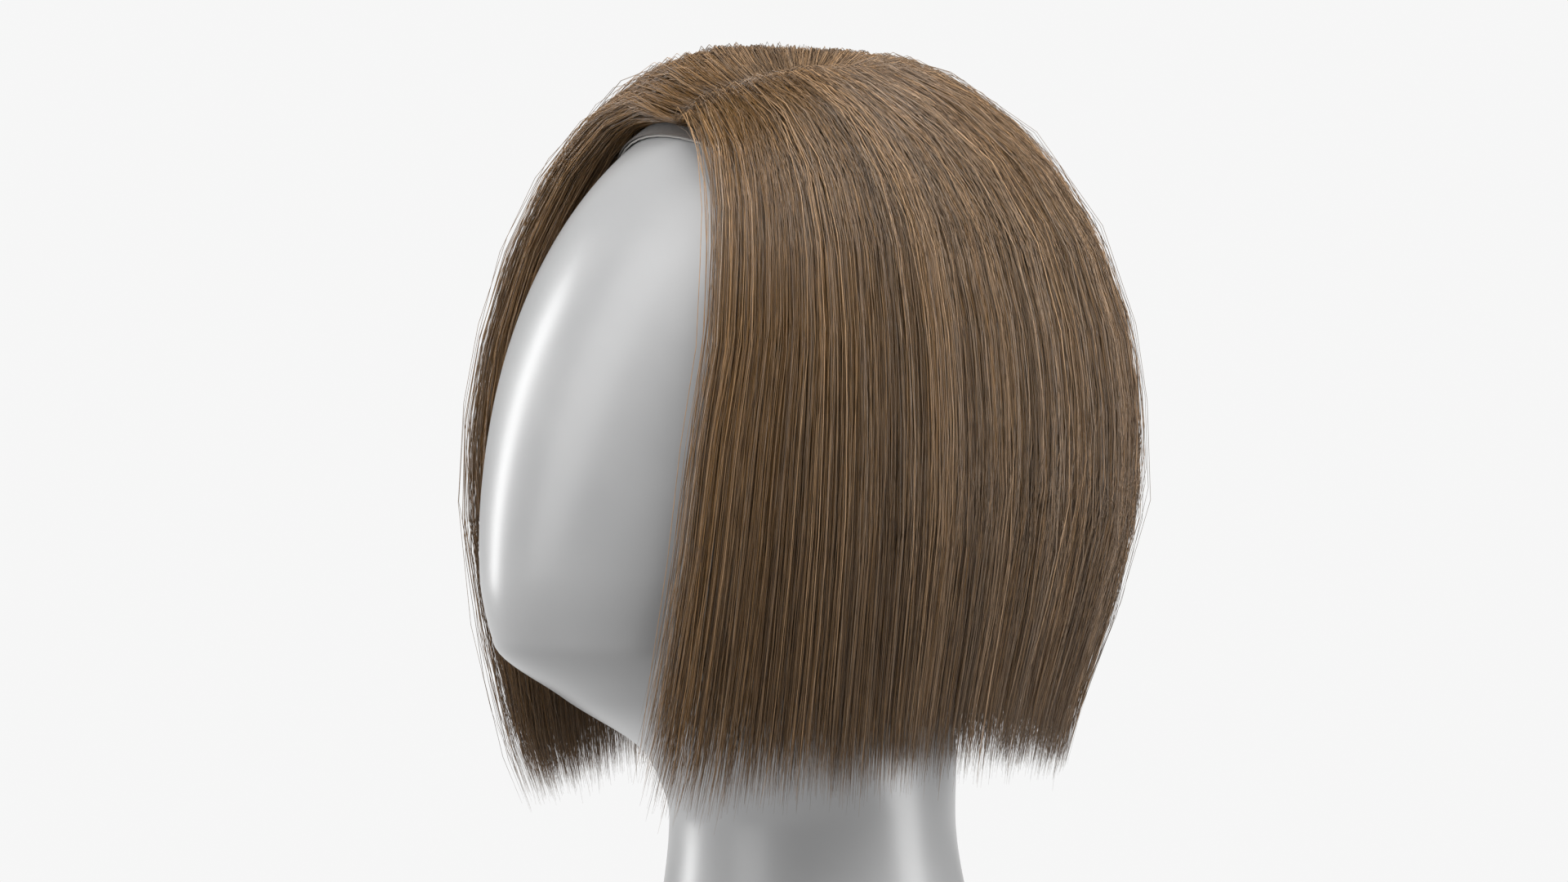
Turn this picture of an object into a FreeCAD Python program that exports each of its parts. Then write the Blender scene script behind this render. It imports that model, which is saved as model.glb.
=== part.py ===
import FreeCAD, Part
import math
import os
import Sketcher

# A faceless glossy mannequin head that carries a side-parted bob wig.
# Millimetres, +Z up, the face looks along -Y and the head's own left side is +X.
# The origin is the centre of the flat foot of the neck, at the mouth of the holder socket.

# Driving dimensions: alias, value, what it measures.
# "Reach" is measured forward of the foot's axis (towards -Y), "back" behind it (towards +Y).
SIZES = [
    # Head form: one line of values for each level at which the form changes.
    ("foot_radius", 64, "outer radius of the neck where it stands"),
    ("throat_level", 80, "height of the narrowest part of the neck"),
    ("throat_half", 52.3, "half breadth of the neck there"),
    ("throat_centre", 3, "how far forward its widest line lies"),
    ("throat_reach", 55.3, "front of the neck"),
    ("throat_back", 50, "back of the neck"),
    ("underjaw_level", 103, "height where the neck runs into the underside of the jaw"),
    ("underjaw_half", 50.5, "half breadth there"),
    ("underjaw_centre", 10, "forward offset of the widest line"),
    ("underjaw_reach", 65, "front"),
    ("underjaw_back", 52.5, "back"),
    ("jaw_level", 126, "height of the middle of the jaw's underside"),
    ("jaw_half", 46.5, "half breadth there"),
    ("jaw_centre", 31, "forward offset of the widest line"),
    ("jaw_reach", 104, "front"),
    ("jaw_back", 54.7, "back"),
    ("chin_level", 146, "height of the chin"),
    ("chin_half", 51.5, "half breadth there"),
    ("chin_centre", 38, "forward offset of the widest line"),
    ("chin_reach", 133.5, "front"),
    ("chin_back", 58, "back"),
    ("face_level", 171, "height of the part of the face that lies furthest forward"),
    ("face_half", 63, "half breadth there"),
    ("face_centre", 30, "forward offset of the widest line"),
    ("face_reach", 138, "front of the face"),
    ("face_back", 63, "back"),
    ("cheek_level", 205, "height of the cheekbones"),
    ("cheek_half", 72, "half breadth there"),
    ("cheek_centre", 25, "forward offset of the widest line"),
    ("cheek_back", 70.5, "back"),
    ("skull_level", 245, "height at which the skull is widest"),
    ("skull_half", 77, "half breadth of the skull"),
    ("skull_centre", 20, "forward offset of the crown"),
    ("skull_back", 77, "back of the skull"),
    ("head_height", 348, "height of the bare crown above the foot"),
    ("shell_wall", 4, "wall of the moulded head"),
    ("seam_level", 98, "height of the bonded seam between the head and neck mouldings"),
    ("crown_flat", 0.06, "flat left on top of each form, as a share of its breadth"),
    # Foot and holder socket.
    ("foot_pad_thickness", 3, "anti-slip ring under the foot"),
    ("foot_pad_width", 14, "radial width of that ring"),
    ("foot_pad_inset", 1, "how far its rim stands back from the neck's"),
    ("foot_pad_chamfer", 0.8, "chamfer of its lower rim"),
    ("plate_thickness", 4, "ballast plate that closes the neck"),
    ("plug_thickness", 22, "wooden plug glued into the neck"),
    ("plug_clearance", 0.2, "glue gap round the plug and the plate"),
    ("bush_bore", 12.8, "bore radius of the holder socket"),
    ("bush_wall", 2.4, "wall of the socket tube"),
    ("bush_depth", 78, "length of the socket bore"),
    ("bush_flange", 7, "how far the socket's flange stands out from its tube"),
    ("flange_thickness", 3, "thickness of that flange"),
    ("stop_thickness", 6, "thickness of the plug that closes the socket's top"),
    ("fit_clearance", 0.15, "clearance of pieces that slip into each other"),
    ("screw_count", 4, "screws through the ballast plate"),
    ("screw_circle", 36, "radius of the screw circle"),
    ("screw_radius", 2.2, "shank radius of a screw"),
    ("screw_head", 4.4, "head radius of a screw"),
    ("screw_length", 20, "length of a screw"),
    ("screw_tip", 3, "length of a screw's point"),
    ("screw_room", 0.5, "room past a screw's point"),
    # Wig cap.
    ("cap_clearance", 0.5, "gap between the head and the cap's net"),
    ("net_thickness", 0.8, "thickness of the cap's net and lace"),
    ("layer_gap", 0.3, "gap between one layer of the cap and the next"),
    ("tape_thickness", 0.7, "thickness of the bindings and of the parting strip"),
    ("weft_thickness", 1.3, "thickness of a sewn weft row"),
    ("weft_height", 2.4, "height of a sewn weft row"),
    ("weft_spacing", 13, "distance from one weft row to the next"),
    ("weft_rows", 5, "number of weft rows"),
    ("weft_start", 2, "distance from the edge binding to the first weft row"),
    ("cap_front_level", 330, "height of the cap's edge at the forehead"),
    ("cap_tilt", 45, "slope of the cap's edge from forehead to nape, in degrees"),
    ("cap_front_reach", 72, "forward reach at which the front level is taken"),
    ("binding_height", 9, "width of the edge binding"),
    ("lace_reach", 56, "where the front lace meets the crown net"),
    ("part_offset", 26, "how far left of the middle the parting lies"),
    ("part_width", 22, "width of the parting strip"),
    ("part_lift", 0.5, "how far the parting strip is padded up above the other layers"),
    ("part_length", 84, "length of the parting strip from the hairline back"),
    ("tab_reach", 62, "front edge of an ear tab"),
    ("tab_width", 24, "width of an ear tab"),
    ("tab_low", 208, "lower end of an ear tab"),
    ("stay_width", 5, "width of the stay in an ear tab"),
    ("stay_height", 34, "height of that stay"),
    ("stay_margin", 4, "height of the stay's foot above the tab's lower end"),
    # Nape band with its two adjuster straps, all curved about one upright axis.
    ("nape_axis", 14, "how far behind the origin the nape's axis of curvature stands"),
    ("nape_radius", 64.7, "inner radius of the nape band"),
    ("sewn_gap", 0.05, "gap left by the stitches between pieces sewn onto the nape band"),
    ("nape_thickness", 1.0, "thickness of the nape band"),
    ("nape_low", 152, "lower edge of the nape band"),
    ("nape_height", 26, "height of the nape band"),
    ("nape_angle", 42, "half of the angle that the nape band spans"),
    ("nape_net_drop", 2, "how far the nape net hangs below the nape band"),
    ("strap_height", 11, "width of an adjuster strap"),
    ("strap_thickness", 1.2, "thickness of an adjuster strap"),
    ("strap_clearance", 0.3, "clearance round a strap in its casing"),
    ("casing_wall", 0.8, "wall of a strap casing"),
    ("casing_angle", 21, "angle at which a casing opens towards the middle"),
    ("strap_angle", 19, "angle at which a loosened strap ends at its hook"),
    ("strap_tail_angle", 40, "angle at which a loosened strap ends in its casing"),
    ("hook_angle", 5, "angle that a hook spans"),
    ("hook_thickness", 2, "thickness of a hook"),
    ("hook_bar", 2, "bars above and below the opening of a hook"),
    ("hook_grip", 1.5, "angle of the bar that grips the strap"),
    ("hook_tip", 2, "angle of the bar that grips a loop"),
    ("loop_count", 7, "loops sewn across the middle of the nape band"),
    ("loop_spacing", 3.2, "angle between two loops"),
    ("loop_width", 1.2, "width of a loop"),
    ("loop_height", 16, "height of a loop"),
    ("loop_thickness", 0.4, "thickness of a loop"),
    # Hair.
    ("hair_lift", 18, "thickness of the hair over the crown"),
    ("hair_side", 27, "thickness of the hair at its widest, at the side"),
    ("hair_behind", 45, "thickness of the hair at its widest, behind"),
    ("hair_level", 205, "height at which the hair is widest"),
    ("hair_reach", 136, "forward reach of the hair's outline at the face"),
    ("hair_gap", 0.4, "gap between the cap's outermost layer and the hair"),
    ("ends_level", 90, "height of the cut ends"),
    ("ends_side", 8, "thickness of the hair at its ends, at the side"),
    ("ends_behind", 10, "thickness of the hair at its ends, behind"),
    ("edge_reach", 96, "forward edge of the side hair at the temples"),
    ("edge_level", 262, "height at which the temple edge is measured"),
    ("ends_reach", 108, "forward edge of the side hair near its ends"),
    ("ends_rise", 20, "height above the ends at which that edge is measured"),
    ("fringe_level", 331, "height at which the fringe leaves the parting"),
    ("fringe_low", 238, "height to which the fringe falls at the far temple"),
    ("fringe_side", 62, "how far right of the middle the far temple is"),
    ("fringe_reach", 60, "rear edge of the fringe"),
    ("fringe_drop", 20, "how far the fringe goes on below the far temple"),
    ("crown_level", 302, "height at which the crown sections end"),
    ("section_front", 40, "forward edge of the middle side sections"),
    ("section_back", 20, "where the back sections start"),
    ("section_gap", 0.2, "gap between two hair sections"),
    ("pocket_room", 2.5, "room behind the adjuster straps"),
    ("pocket_rise", 4, "room above and below the nape band"),
]

LIMIT = 400     # half size of the blocks that cut the forms
EVERYWHERE = ("-%d" % LIMIT, "%d" % LIMIT)
RING_POINTS = 20
RING_SPACING = 14
DOME_RINGS = 9
FOREHEAD_ROUNDING = 1.9
HAIR_ROUNDING = 2.3
HAIR_SQUARENESS = 2.4

doc = FreeCAD.newDocument("mannequin_head")
sheet = doc.addObject("Spreadsheet::Sheet", "Sizes")
for row, (alias, value, meaning) in enumerate(SIZES, start=1):
    sheet.set("A%d" % row, alias)
    sheet.set("B%d" % row, str(value))
    sheet.set("C%d" % row, meaning)
    sheet.setAlias("B%d" % row, alias)
doc.recompute()


def size(alias):
    """The value of one driving dimension."""
    return float(sheet.get(alias))


# ---- Forms ------------------------------------------------------------------------------

STATIONS = ("throat", "underjaw", "jaw", "chin", "face", "cheek", "skull")


def through(stations, level):
    """A smooth curve through (level, value) stations that never swings past a station."""
    levels = [station[0] for station in stations]
    values = [station[1] for station in stations]
    if level <= levels[0]:
        return values[0]
    if level >= levels[-1]:
        return values[-1]
    spans = [b - a for a, b in zip(levels, levels[1:])]
    rises = [(b - a) / span for a, b, span in zip(values, values[1:], spans)]
    slopes = [0.0]
    for before, after in zip(rises, rises[1:]):
        slopes.append(0.0 if before * after <= 0 else 2 * before * after / (before + after))
    slopes.append(0.0)
    at = max(i for i, start in enumerate(levels[:-1]) if level >= start)
    part = (level - levels[at]) / spans[at]
    near = (1 + 2 * part) * (1 - part) ** 2 * values[at]
    far = part ** 2 * (3 - 2 * part) * values[at + 1]
    bend = spans[at] * part * (1 - part) * ((1 - part) * slopes[at] - part * slopes[at + 1])
    return near + far + bend


def arc(level, start, top, power):
    """1 at the start level, falling to 0 at the top like a quarter of a rounded arch."""
    share = min(max((level - start) / (top - start), 0.0), 1.0)
    return (1 - share ** power) ** (1 / power)


def stations_of(quantity, foot):
    """The (level, value) stations of one quantity of the head, from the foot up."""
    names = [name for name in STATIONS if (name, quantity) not in
             (("cheek", "reach"), ("skull", "reach"))]
    return [(0.0, foot)] + [(size(name + "_level"), size(name + "_" + quantity)) for name in names]


def head_section(level, grow):
    """Half breadth, centre, front and back of the head at one level, grown by some thickness."""
    top = size("head_height") + grow
    centre = -through(stations_of("centre", 0.0), level)
    crown = -size("skull_centre")
    half = through(stations_of("half", size("foot_radius")), level) + grow
    back = through(stations_of("back", size("foot_radius")), level) + grow
    front = -through(stations_of("reach", size("foot_radius")), level) - grow
    if level > size("face_level"):
        front = crown + (front - crown) * arc(level, size("face_level"), top, FOREHEAD_ROUNDING)
    if level > size("skull_level"):
        rounding = arc(level, size("skull_level"), top, 2)
        half = half * rounding
        back = crown + (back - crown) * rounding
    return half, centre, front, back


def shadow_section(level, grow):
    """The head as seen from above its given level: what a wig must clear when it is lifted."""
    skull = size("skull_level")
    face = size("face_level")
    half, centre, _, back = head_section(max(level, skull), grow)
    front = head_section(max(level, face), grow)[2]
    return half, centre, front, back


def hair_section(level, grow):
    """The outline of the hair at one level."""
    top = size("head_height") + size("hair_lift") + grow
    crown = -size("skull_centre")
    widest = size("hair_level")
    half = through([(size("ends_level"), size("skull_half") + size("ends_side")),
                    (widest, size("skull_half") + size("hair_side"))], level) + grow
    back = through([(size("ends_level"), size("skull_back") + size("ends_behind")),
                    (widest, size("skull_back") + size("hair_behind"))], level) + grow
    front = crown - (size("hair_reach") + crown + grow) * arc(level, size("face_level"), top, 2)
    full = arc(level, widest, top, HAIR_ROUNDING)
    return half * full, crown, front, crown + (back - crown) * full


def ring(section, level, power):
    """A closed smooth outline made of a front half and a back half that meet at the centre."""
    half, centre, front, back = section
    points = []
    for step in range(RING_POINTS):
        angle = 2 * math.pi * step / RING_POINTS
        across = abs(math.cos(angle)) ** (2 / power)
        along = abs(math.sin(angle)) ** (2 / power)
        x = math.copysign(half * across, math.cos(angle))
        y = centre + along * ((back - centre) if math.sin(angle) > 0 else (front - centre))
        points.append(FreeCAD.Vector(x, y, level))
    curve = Part.BSplineCurve()
    curve.interpolate(points, PeriodicFlag=True)
    return Part.Wire([curve.toShape()])


def levels_between(bottom, top, breaks, dome):
    """Levels for a form's rings: evenly between its breaks, and closer together near its top."""
    marks = [bottom] + [mark for mark in breaks if bottom < mark < dome] + [dome]
    levels = []
    for low, high in zip(marks, marks[1:]):
        count = max(1, round((high - low) / RING_SPACING))
        levels += [low + (high - low) * step / count for step in range(count)]
    last = math.acos(size("crown_flat"))
    levels += [dome + (top - dome) * math.sin(last * step / DOME_RINGS) for step in range(DOME_RINGS + 1)]
    return levels


def form(name, section, grow, bottom, top, power=2.0):
    """A solid with the rings of one section function, kept as a Part::Feature."""
    breaks = [size(station + "_level") for station in STATIONS]
    dome = size("skull_level")
    rings = [ring(section(level, grow), level, power)
             for level in levels_between(bottom, top + grow, breaks, dome)]
    feature = doc.addObject("Part::Feature", name)
    feature.Shape = Part.makeLoft(rings, True, False)
    return feature


# ---- Tools for building pieces ----------------------------------------------------------

nodes = []


def node(feature, label):
    """Marks a document object as one piece of the model."""
    feature.Label = label
    nodes.append(feature)
    return feature


def bind(feature, **expressions):
    """Ties properties of an object to expressions in the sheet's names."""
    for name, expression in expressions.items():
        feature.setExpression(name, expression)
    return feature


def place(feature, x="0", y="0", z="0"):
    """Ties an object's position to expressions."""
    feature.setExpression(".Placement.Base.x", x)
    feature.setExpression(".Placement.Base.y", y)
    feature.setExpression(".Placement.Base.z", z)
    return feature


def block(name, x, y, z):
    """A box between two expressions on each axis, given as (low, high) pairs."""
    box = doc.addObject("Part::Box", name)
    bind(box, Length="(%s) - (%s)" % (x[1], x[0]), Width="(%s) - (%s)" % (y[1], y[0]),
         Height="(%s) - (%s)" % (z[1], z[0]))
    return place(box, x[0], y[0], z[0])


def cut(name, base, tool):
    feature = doc.addObject("Part::Cut", name)
    feature.Base = base
    feature.Tool = tool
    return feature


def common(name, *shapes):
    feature = doc.addObject("Part::MultiCommon", name)
    feature.Shapes = list(shapes)
    return feature


def fuse(name, *shapes):
    feature = doc.addObject("Part::MultiFuse", name)
    feature.Shapes = list(shapes)
    return feature


def body(label):
    return node(doc.addObject("PartDesign::Body", label), label)


def origin_part(owner, role):
    return [item for item in owner.Origin.OriginFeatures if item.Role == role][0]


def sketch_in(owner, name, role):
    sketch = owner.newObject("Sketcher::SketchObject", name)
    sketch.AttachmentSupport = [(origin_part(owner, role), "")]
    sketch.MapMode = "FlatFace"
    return sketch


def outline(sketch, corners):
    """A closed outline of straight lines; each corner is a pair of expressions."""
    values = [[float(sheet.evalExpression(text)) for text in corner] for corner in corners]
    count = len(values)
    for index in range(count):
        start = FreeCAD.Vector(*values[index], 0)
        end = FreeCAD.Vector(*values[(index + 1) % count], 0)
        sketch.addGeometry(Part.LineSegment(start, end), False)
    for index in range(count):
        sketch.addConstraint(Sketcher.Constraint("Coincident", index, 2, (index + 1) % count, 1))
    for index, corner in enumerate(corners):
        for kind, text, value in zip(("DistanceX", "DistanceY"), corner, values[index]):
            number = sketch.addConstraint(Sketcher.Constraint(kind, -1, 1, index, 1, value))
            sketch.setExpression("Constraints[%d]" % number, text)


def turned(label, corners):
    """A turned piece: an outline of (radius, height) corners revolved about the upright axis."""
    owner = body(label)
    sketch = sketch_in(owner, label + "_profile", "XZ_Plane")
    outline(sketch, corners)
    turn = owner.newObject("PartDesign::Revolution", label + "_turn")
    turn.Profile = sketch
    turn.ReferenceAxis = (sketch, ["V_Axis"])
    turn.Angle = 360
    doc.recompute()
    return owner


# ---- The head: moulded shell, foot and holder socket --------------------------------------

def make_head_shell():
    """The hollow head and its neck: two mouldings bonded at a level seam and lacquered over."""
    low = size("foot_pad_thickness")
    outside = form("head_outside", head_section, 0.0, low, size("head_height"))
    inside = form("head_inside", head_section, -size("shell_wall"), low - 1, size("head_height"))
    shell = cut("whole_shell", outside, inside)
    upper = block("above_seam", EVERYWHERE, EVERYWHERE, ("Sizes.seam_level", str(2 * LIMIT)))
    node(common("head_shell_common", shell, upper), "head_shell")
    node(cut("neck_shell_cut", shell, upper), "neck_shell")


def neck_bore(level):
    """The radius of the largest round piece that fits inside the neck at one level."""
    half, _, front, back = head_section(level, -size("shell_wall"))
    return min(half, -front, back) - size("plug_clearance")


def make_foot():
    """Anti-slip ring, ballast plate and glued wooden plug, from the floor up."""
    pad = "Sizes.foot_pad_thickness"
    rim = "(Sizes.foot_radius - Sizes.foot_pad_inset)"
    turned("foot_pad", [
        (rim + " - Sizes.foot_pad_width", "0"), (rim + " - Sizes.foot_pad_chamfer", "0"),
        (rim, "Sizes.foot_pad_chamfer"), (rim, pad), (rim + " - Sizes.foot_pad_width", pad)])
    bore = "Sizes.bush_bore + Sizes.bush_wall + Sizes.fit_clearance"
    plate_top = "(Sizes.foot_pad_thickness + Sizes.plate_thickness)"
    plug_top = plate_top + " + Sizes.plug_thickness"
    seat_level = size("foot_pad_thickness") + size("plate_thickness")
    seat = "%.4f" % neck_bore(seat_level)
    neck = "%.4f" % neck_bore(seat_level + size("plug_thickness"))
    plate = turned("ballast_plate", [(bore, pad), (seat, pad), (seat, plate_top), (bore, plate_top)])
    plug = turned("neck_plug", [(bore, plate_top), (seat, plate_top), (neck, plug_top), (bore, plug_top)])
    return plate, plug


def repeat_round(owner, feature, label):
    """Repeats a feature at every place on the screw circle."""
    pattern = owner.newObject("PartDesign::PolarPattern", label + "_circle")
    pattern.Originals = [feature]
    pattern.Axis = (origin_part(owner, "Z_Axis"), [""])
    pattern.Angle = 360
    bind(pattern, Occurrences="Sizes.screw_count")
    owner.Tip = pattern
    doc.recompute()


def drill(owner, label, low, high, low_radius, high_radius):
    """Tapered screw holes through a piece, on the screw circle."""
    sketch = sketch_in(owner, label, "XZ_Plane")
    outline(sketch, [
        ("Sizes.screw_circle", low), ("Sizes.screw_circle + " + low_radius, low),
        ("Sizes.screw_circle + " + high_radius, high), ("Sizes.screw_circle", high)])
    groove = owner.newObject("PartDesign::Groove", label + "_hole")
    groove.Profile = sketch
    groove.ReferenceAxis = (sketch, ["Edge4"])
    groove.Angle = 360
    doc.recompute()
    repeat_round(owner, groove, label)


def make_screws(plate, plug):
    """Countersunk screws that hold the ballast plate to the plug, one group of equal screws."""
    pad = "Sizes.foot_pad_thickness"
    plate_top = "(Sizes.foot_pad_thickness + Sizes.plate_thickness)"
    hole = "Sizes.screw_radius + Sizes.fit_clearance"
    drill(plate, "plate_holes", pad, plate_top, "Sizes.screw_head + Sizes.fit_clearance", hole)
    drill(plug, "plug_holes", plate_top, pad + " + Sizes.screw_length + Sizes.screw_room", hole, hole)
    sink = "(Sizes.foot_pad_thickness + Sizes.screw_head - Sizes.screw_radius)"
    owner = body("plate_screws")
    owner.AllowCompound = True
    sketch = sketch_in(owner, "screw_profile", "XZ_Plane")
    shank = "Sizes.screw_circle + Sizes.screw_radius"
    outline(sketch, [
        ("Sizes.screw_circle", pad), ("Sizes.screw_circle + Sizes.screw_head", pad), (shank, sink),
        (shank, pad + " + Sizes.screw_length - Sizes.screw_tip"),
        ("Sizes.screw_circle", pad + " + Sizes.screw_length")])
    turn = owner.newObject("PartDesign::Revolution", "screw_turn")
    turn.Profile = sketch
    turn.ReferenceAxis = (sketch, ["Edge5"])
    turn.Angle = 360
    doc.recompute()
    repeat_round(owner, turn, "screw")


def make_socket():
    """Flanged steel tube that takes a holder's post, and the wooden disc glued over its top."""
    inner = "Sizes.bush_bore"
    outer = "(Sizes.bush_bore + Sizes.bush_wall)"
    rim = outer + " + Sizes.bush_flange"
    pad = "Sizes.foot_pad_thickness"
    under = "(Sizes.foot_pad_thickness - Sizes.flange_thickness)"
    top = "(%s + Sizes.bush_depth)" % under
    turned("socket_bush", [
        (inner, under), (rim, under), (rim, pad), (outer, pad), (outer, top), (inner, top)])
    turned("socket_stop", [
        ("0", top), (outer, top), (outer, top + " + Sizes.stop_thickness"),
        ("0", top + " + Sizes.stop_thickness")])


# ---- The wig's cap ------------------------------------------------------------------------

NET_OUT = size("cap_clearance") + size("net_thickness")
LAYER_IN = NET_OUT + size("layer_gap")
TAPE_OUT = LAYER_IN + size("tape_thickness")
WEFT_OUT = LAYER_IN + size("weft_thickness")
HAIR_IN = WEFT_OUT + size("hair_gap")


def skin(name, inner, outer, bottom):
    """A thin layer that follows what the wig must clear, between two distances from the head."""
    top = size("head_height")
    return cut(name, form(name + "_out", shadow_section, outer, bottom, top),
               form(name + "_in", shadow_section, inner, bottom - 1, top))


def edge_slab(name, low, high):
    """The space between two planes that lie parallel to the cap's edge, above it."""
    box = doc.addObject("Part::Box", name)
    bind(box, Length=str(2 * LIMIT), Width=str(2 * LIMIT), Height="(%s) - (%s)" % (high, low))
    turn = FreeCAD.Rotation(FreeCAD.Vector(-1, 0, 0), size("cap_tilt"))
    box.Placement = FreeCAD.Placement(FreeCAD.Vector(), turn)
    box.setExpression(".Placement.Rotation.Angle", "Sizes.cap_tilt")
    lean = "cos(Sizes.cap_tilt * 1deg)"
    drop = "sin(Sizes.cap_tilt * 1deg)"
    return place(box, str(-LIMIT),
                 "-Sizes.cap_front_reach - %d * %s + (%s) * %s" % (LIMIT, lean, low, drop),
                 "Sizes.cap_front_level + %d * %s + (%s) * %s" % (LIMIT, drop, low, lean))


def make_cap():
    """Crown net, front lace, ear tabs, nape net, edge binding and parting strip."""
    lowest = size("nape_low") - 10
    net = skin("net_skin", size("cap_clearance"), NET_OUT, lowest)
    tape = skin("tape_skin", LAYER_IN, TAPE_OUT, lowest)
    above_edge = edge_slab("above_edge", "0", str(LIMIT))
    lace_side = block("lace_side", EVERYWHERE, ("-%d" % LIMIT, "-Sizes.lace_reach"), ("0", str(2 * LIMIT)))
    net_above = common("net_above", net, above_edge)
    node(common("front_lace_common", net_above, lace_side), "front_lace")
    node(cut("crown_net_cut", net_above, lace_side), "crown_net")
    node(common("edge_binding_common", tape, edge_slab("binding_slab", "0", "Sizes.binding_height")),
         "edge_binding")

    strip = ("Sizes.part_offset - Sizes.part_width / 2", "Sizes.part_offset + Sizes.part_width / 2")
    strip_box = block("strip_box", strip, ("-%d" % LIMIT, "-Sizes.cap_front_reach + Sizes.part_length"),
                      ("0", str(2 * LIMIT)))
    over_binding = edge_slab("over_binding", "Sizes.binding_height + Sizes.layer_gap", str(LIMIT))
    lifted = skin("strip_skin", LAYER_IN + size("part_lift"), TAPE_OUT + size("part_lift"), lowest)
    node(common("parting_strip_common", lifted, over_binding, strip_box), "parting_strip")

    reach = ("-Sizes.tab_reach", "-Sizes.tab_reach + Sizes.tab_width")
    middle = "-Sizes.tab_reach + Sizes.tab_width / 2"
    stay = (middle + " - Sizes.stay_width / 2", middle + " + Sizes.stay_width / 2")
    for side, across in (("left", ("0", str(LIMIT))), ("right", ("-%d" % LIMIT, "0"))):
        tab_box = block("tab_box_" + side, across, reach, ("Sizes.tab_low", str(LIMIT)))
        node(cut("ear_tab_cut_" + side, common("tab_piece_" + side, net, tab_box), above_edge),
             "ear_tab_" + side)
        stay_box = block("stay_box_" + side, across, stay,
                         ("Sizes.tab_low + Sizes.stay_margin",
                          "Sizes.tab_low + Sizes.stay_margin + Sizes.stay_height"))
        node(common("ear_stay_common_" + side, tape, stay_box), "ear_stay_" + side)

    nape_box = block("nape_box", ("-Sizes.nape_radius * sin(Sizes.nape_angle * 1deg)",
                                  "Sizes.nape_radius * sin(Sizes.nape_angle * 1deg)"),
                     ("0", str(LIMIT)), ("Sizes.nape_low - Sizes.nape_net_drop", str(LIMIT)))
    node(cut("nape_net_cut", common("nape_piece", net, nape_box), above_edge), "nape_net")


def make_wefts():
    """Rows of machine-sewn wefts round the back and the sides, clear of the open top of the cap."""
    layer = skin("weft_skin", LAYER_IN, WEFT_OUT, size("nape_low"))
    slabs = []
    for row in range(int(size("weft_rows"))):
        low = "Sizes.binding_height + Sizes.layer_gap + Sizes.weft_start + %d * Sizes.weft_spacing" % row
        slabs.append(edge_slab("weft_slab_%d" % row, low, low + " + Sizes.weft_height"))
    rows = common("weft_all", layer, fuse("weft_slabs", *slabs))
    behind = "-Sizes.cap_front_reach + Sizes.part_length + Sizes.layer_gap"
    top = block("open_top", ("-Sizes.part_offset - Sizes.part_width", "Sizes.part_offset + Sizes.part_width"),
                ("-%d" % LIMIT, behind), ("0", str(2 * LIMIT)))
    sewn = cut("weft_sewn", rows, top)
    high = ("0", str(2 * LIMIT))
    back = (behind + " + Sizes.layer_gap", str(LIMIT))
    front = ("-%d" % LIMIT, behind)
    node(common("weft_back_common", sewn, block("weft_back_box", EVERYWHERE, back, high)), "weft_rows_back")
    node(common("weft_left_common", sewn, block("weft_left_box", ("0", str(LIMIT)), front, high)),
         "weft_rows_left")
    node(common("weft_right_common", sewn, block("weft_right_box", ("-%d" % LIMIT, "0"), front, high)),
         "weft_rows_right")


# ---- Nape band and its adjusters ------------------------------------------------------------

def bent(name, inner, outer, low, high, start, end):
    """A plate bent about the nape's axis, from one angle to another, measured from straight back."""
    rod = doc.addObject("Part::Cylinder", name + "_rod")
    bind(rod, Radius=outer, Height="(%s) - (%s)" % (high, low), Angle="(%s) - (%s)" % (end, start))
    rod.Placement = FreeCAD.Placement(FreeCAD.Vector(), FreeCAD.Rotation(FreeCAD.Vector(0, 0, 1), 45))
    rod.setExpression(".Placement.Rotation.Angle", "90 - (%s)" % end)
    hole = doc.addObject("Part::Cylinder", name + "_hole")
    bind(hole, Radius=inner, Height="(%s) - (%s) + 2" % (high, low))
    return cut(name, place(rod, "0", "Sizes.nape_axis", low),
               place(hole, "0", "Sizes.nape_axis", "(%s) - 1" % low))


def sided(side, start, end):
    """Start and end angles on one side of the head: +1 is its left, -1 its right."""
    return (start, end) if side > 0 else ("-(%s)" % end, "-(%s)" % start)


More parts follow.
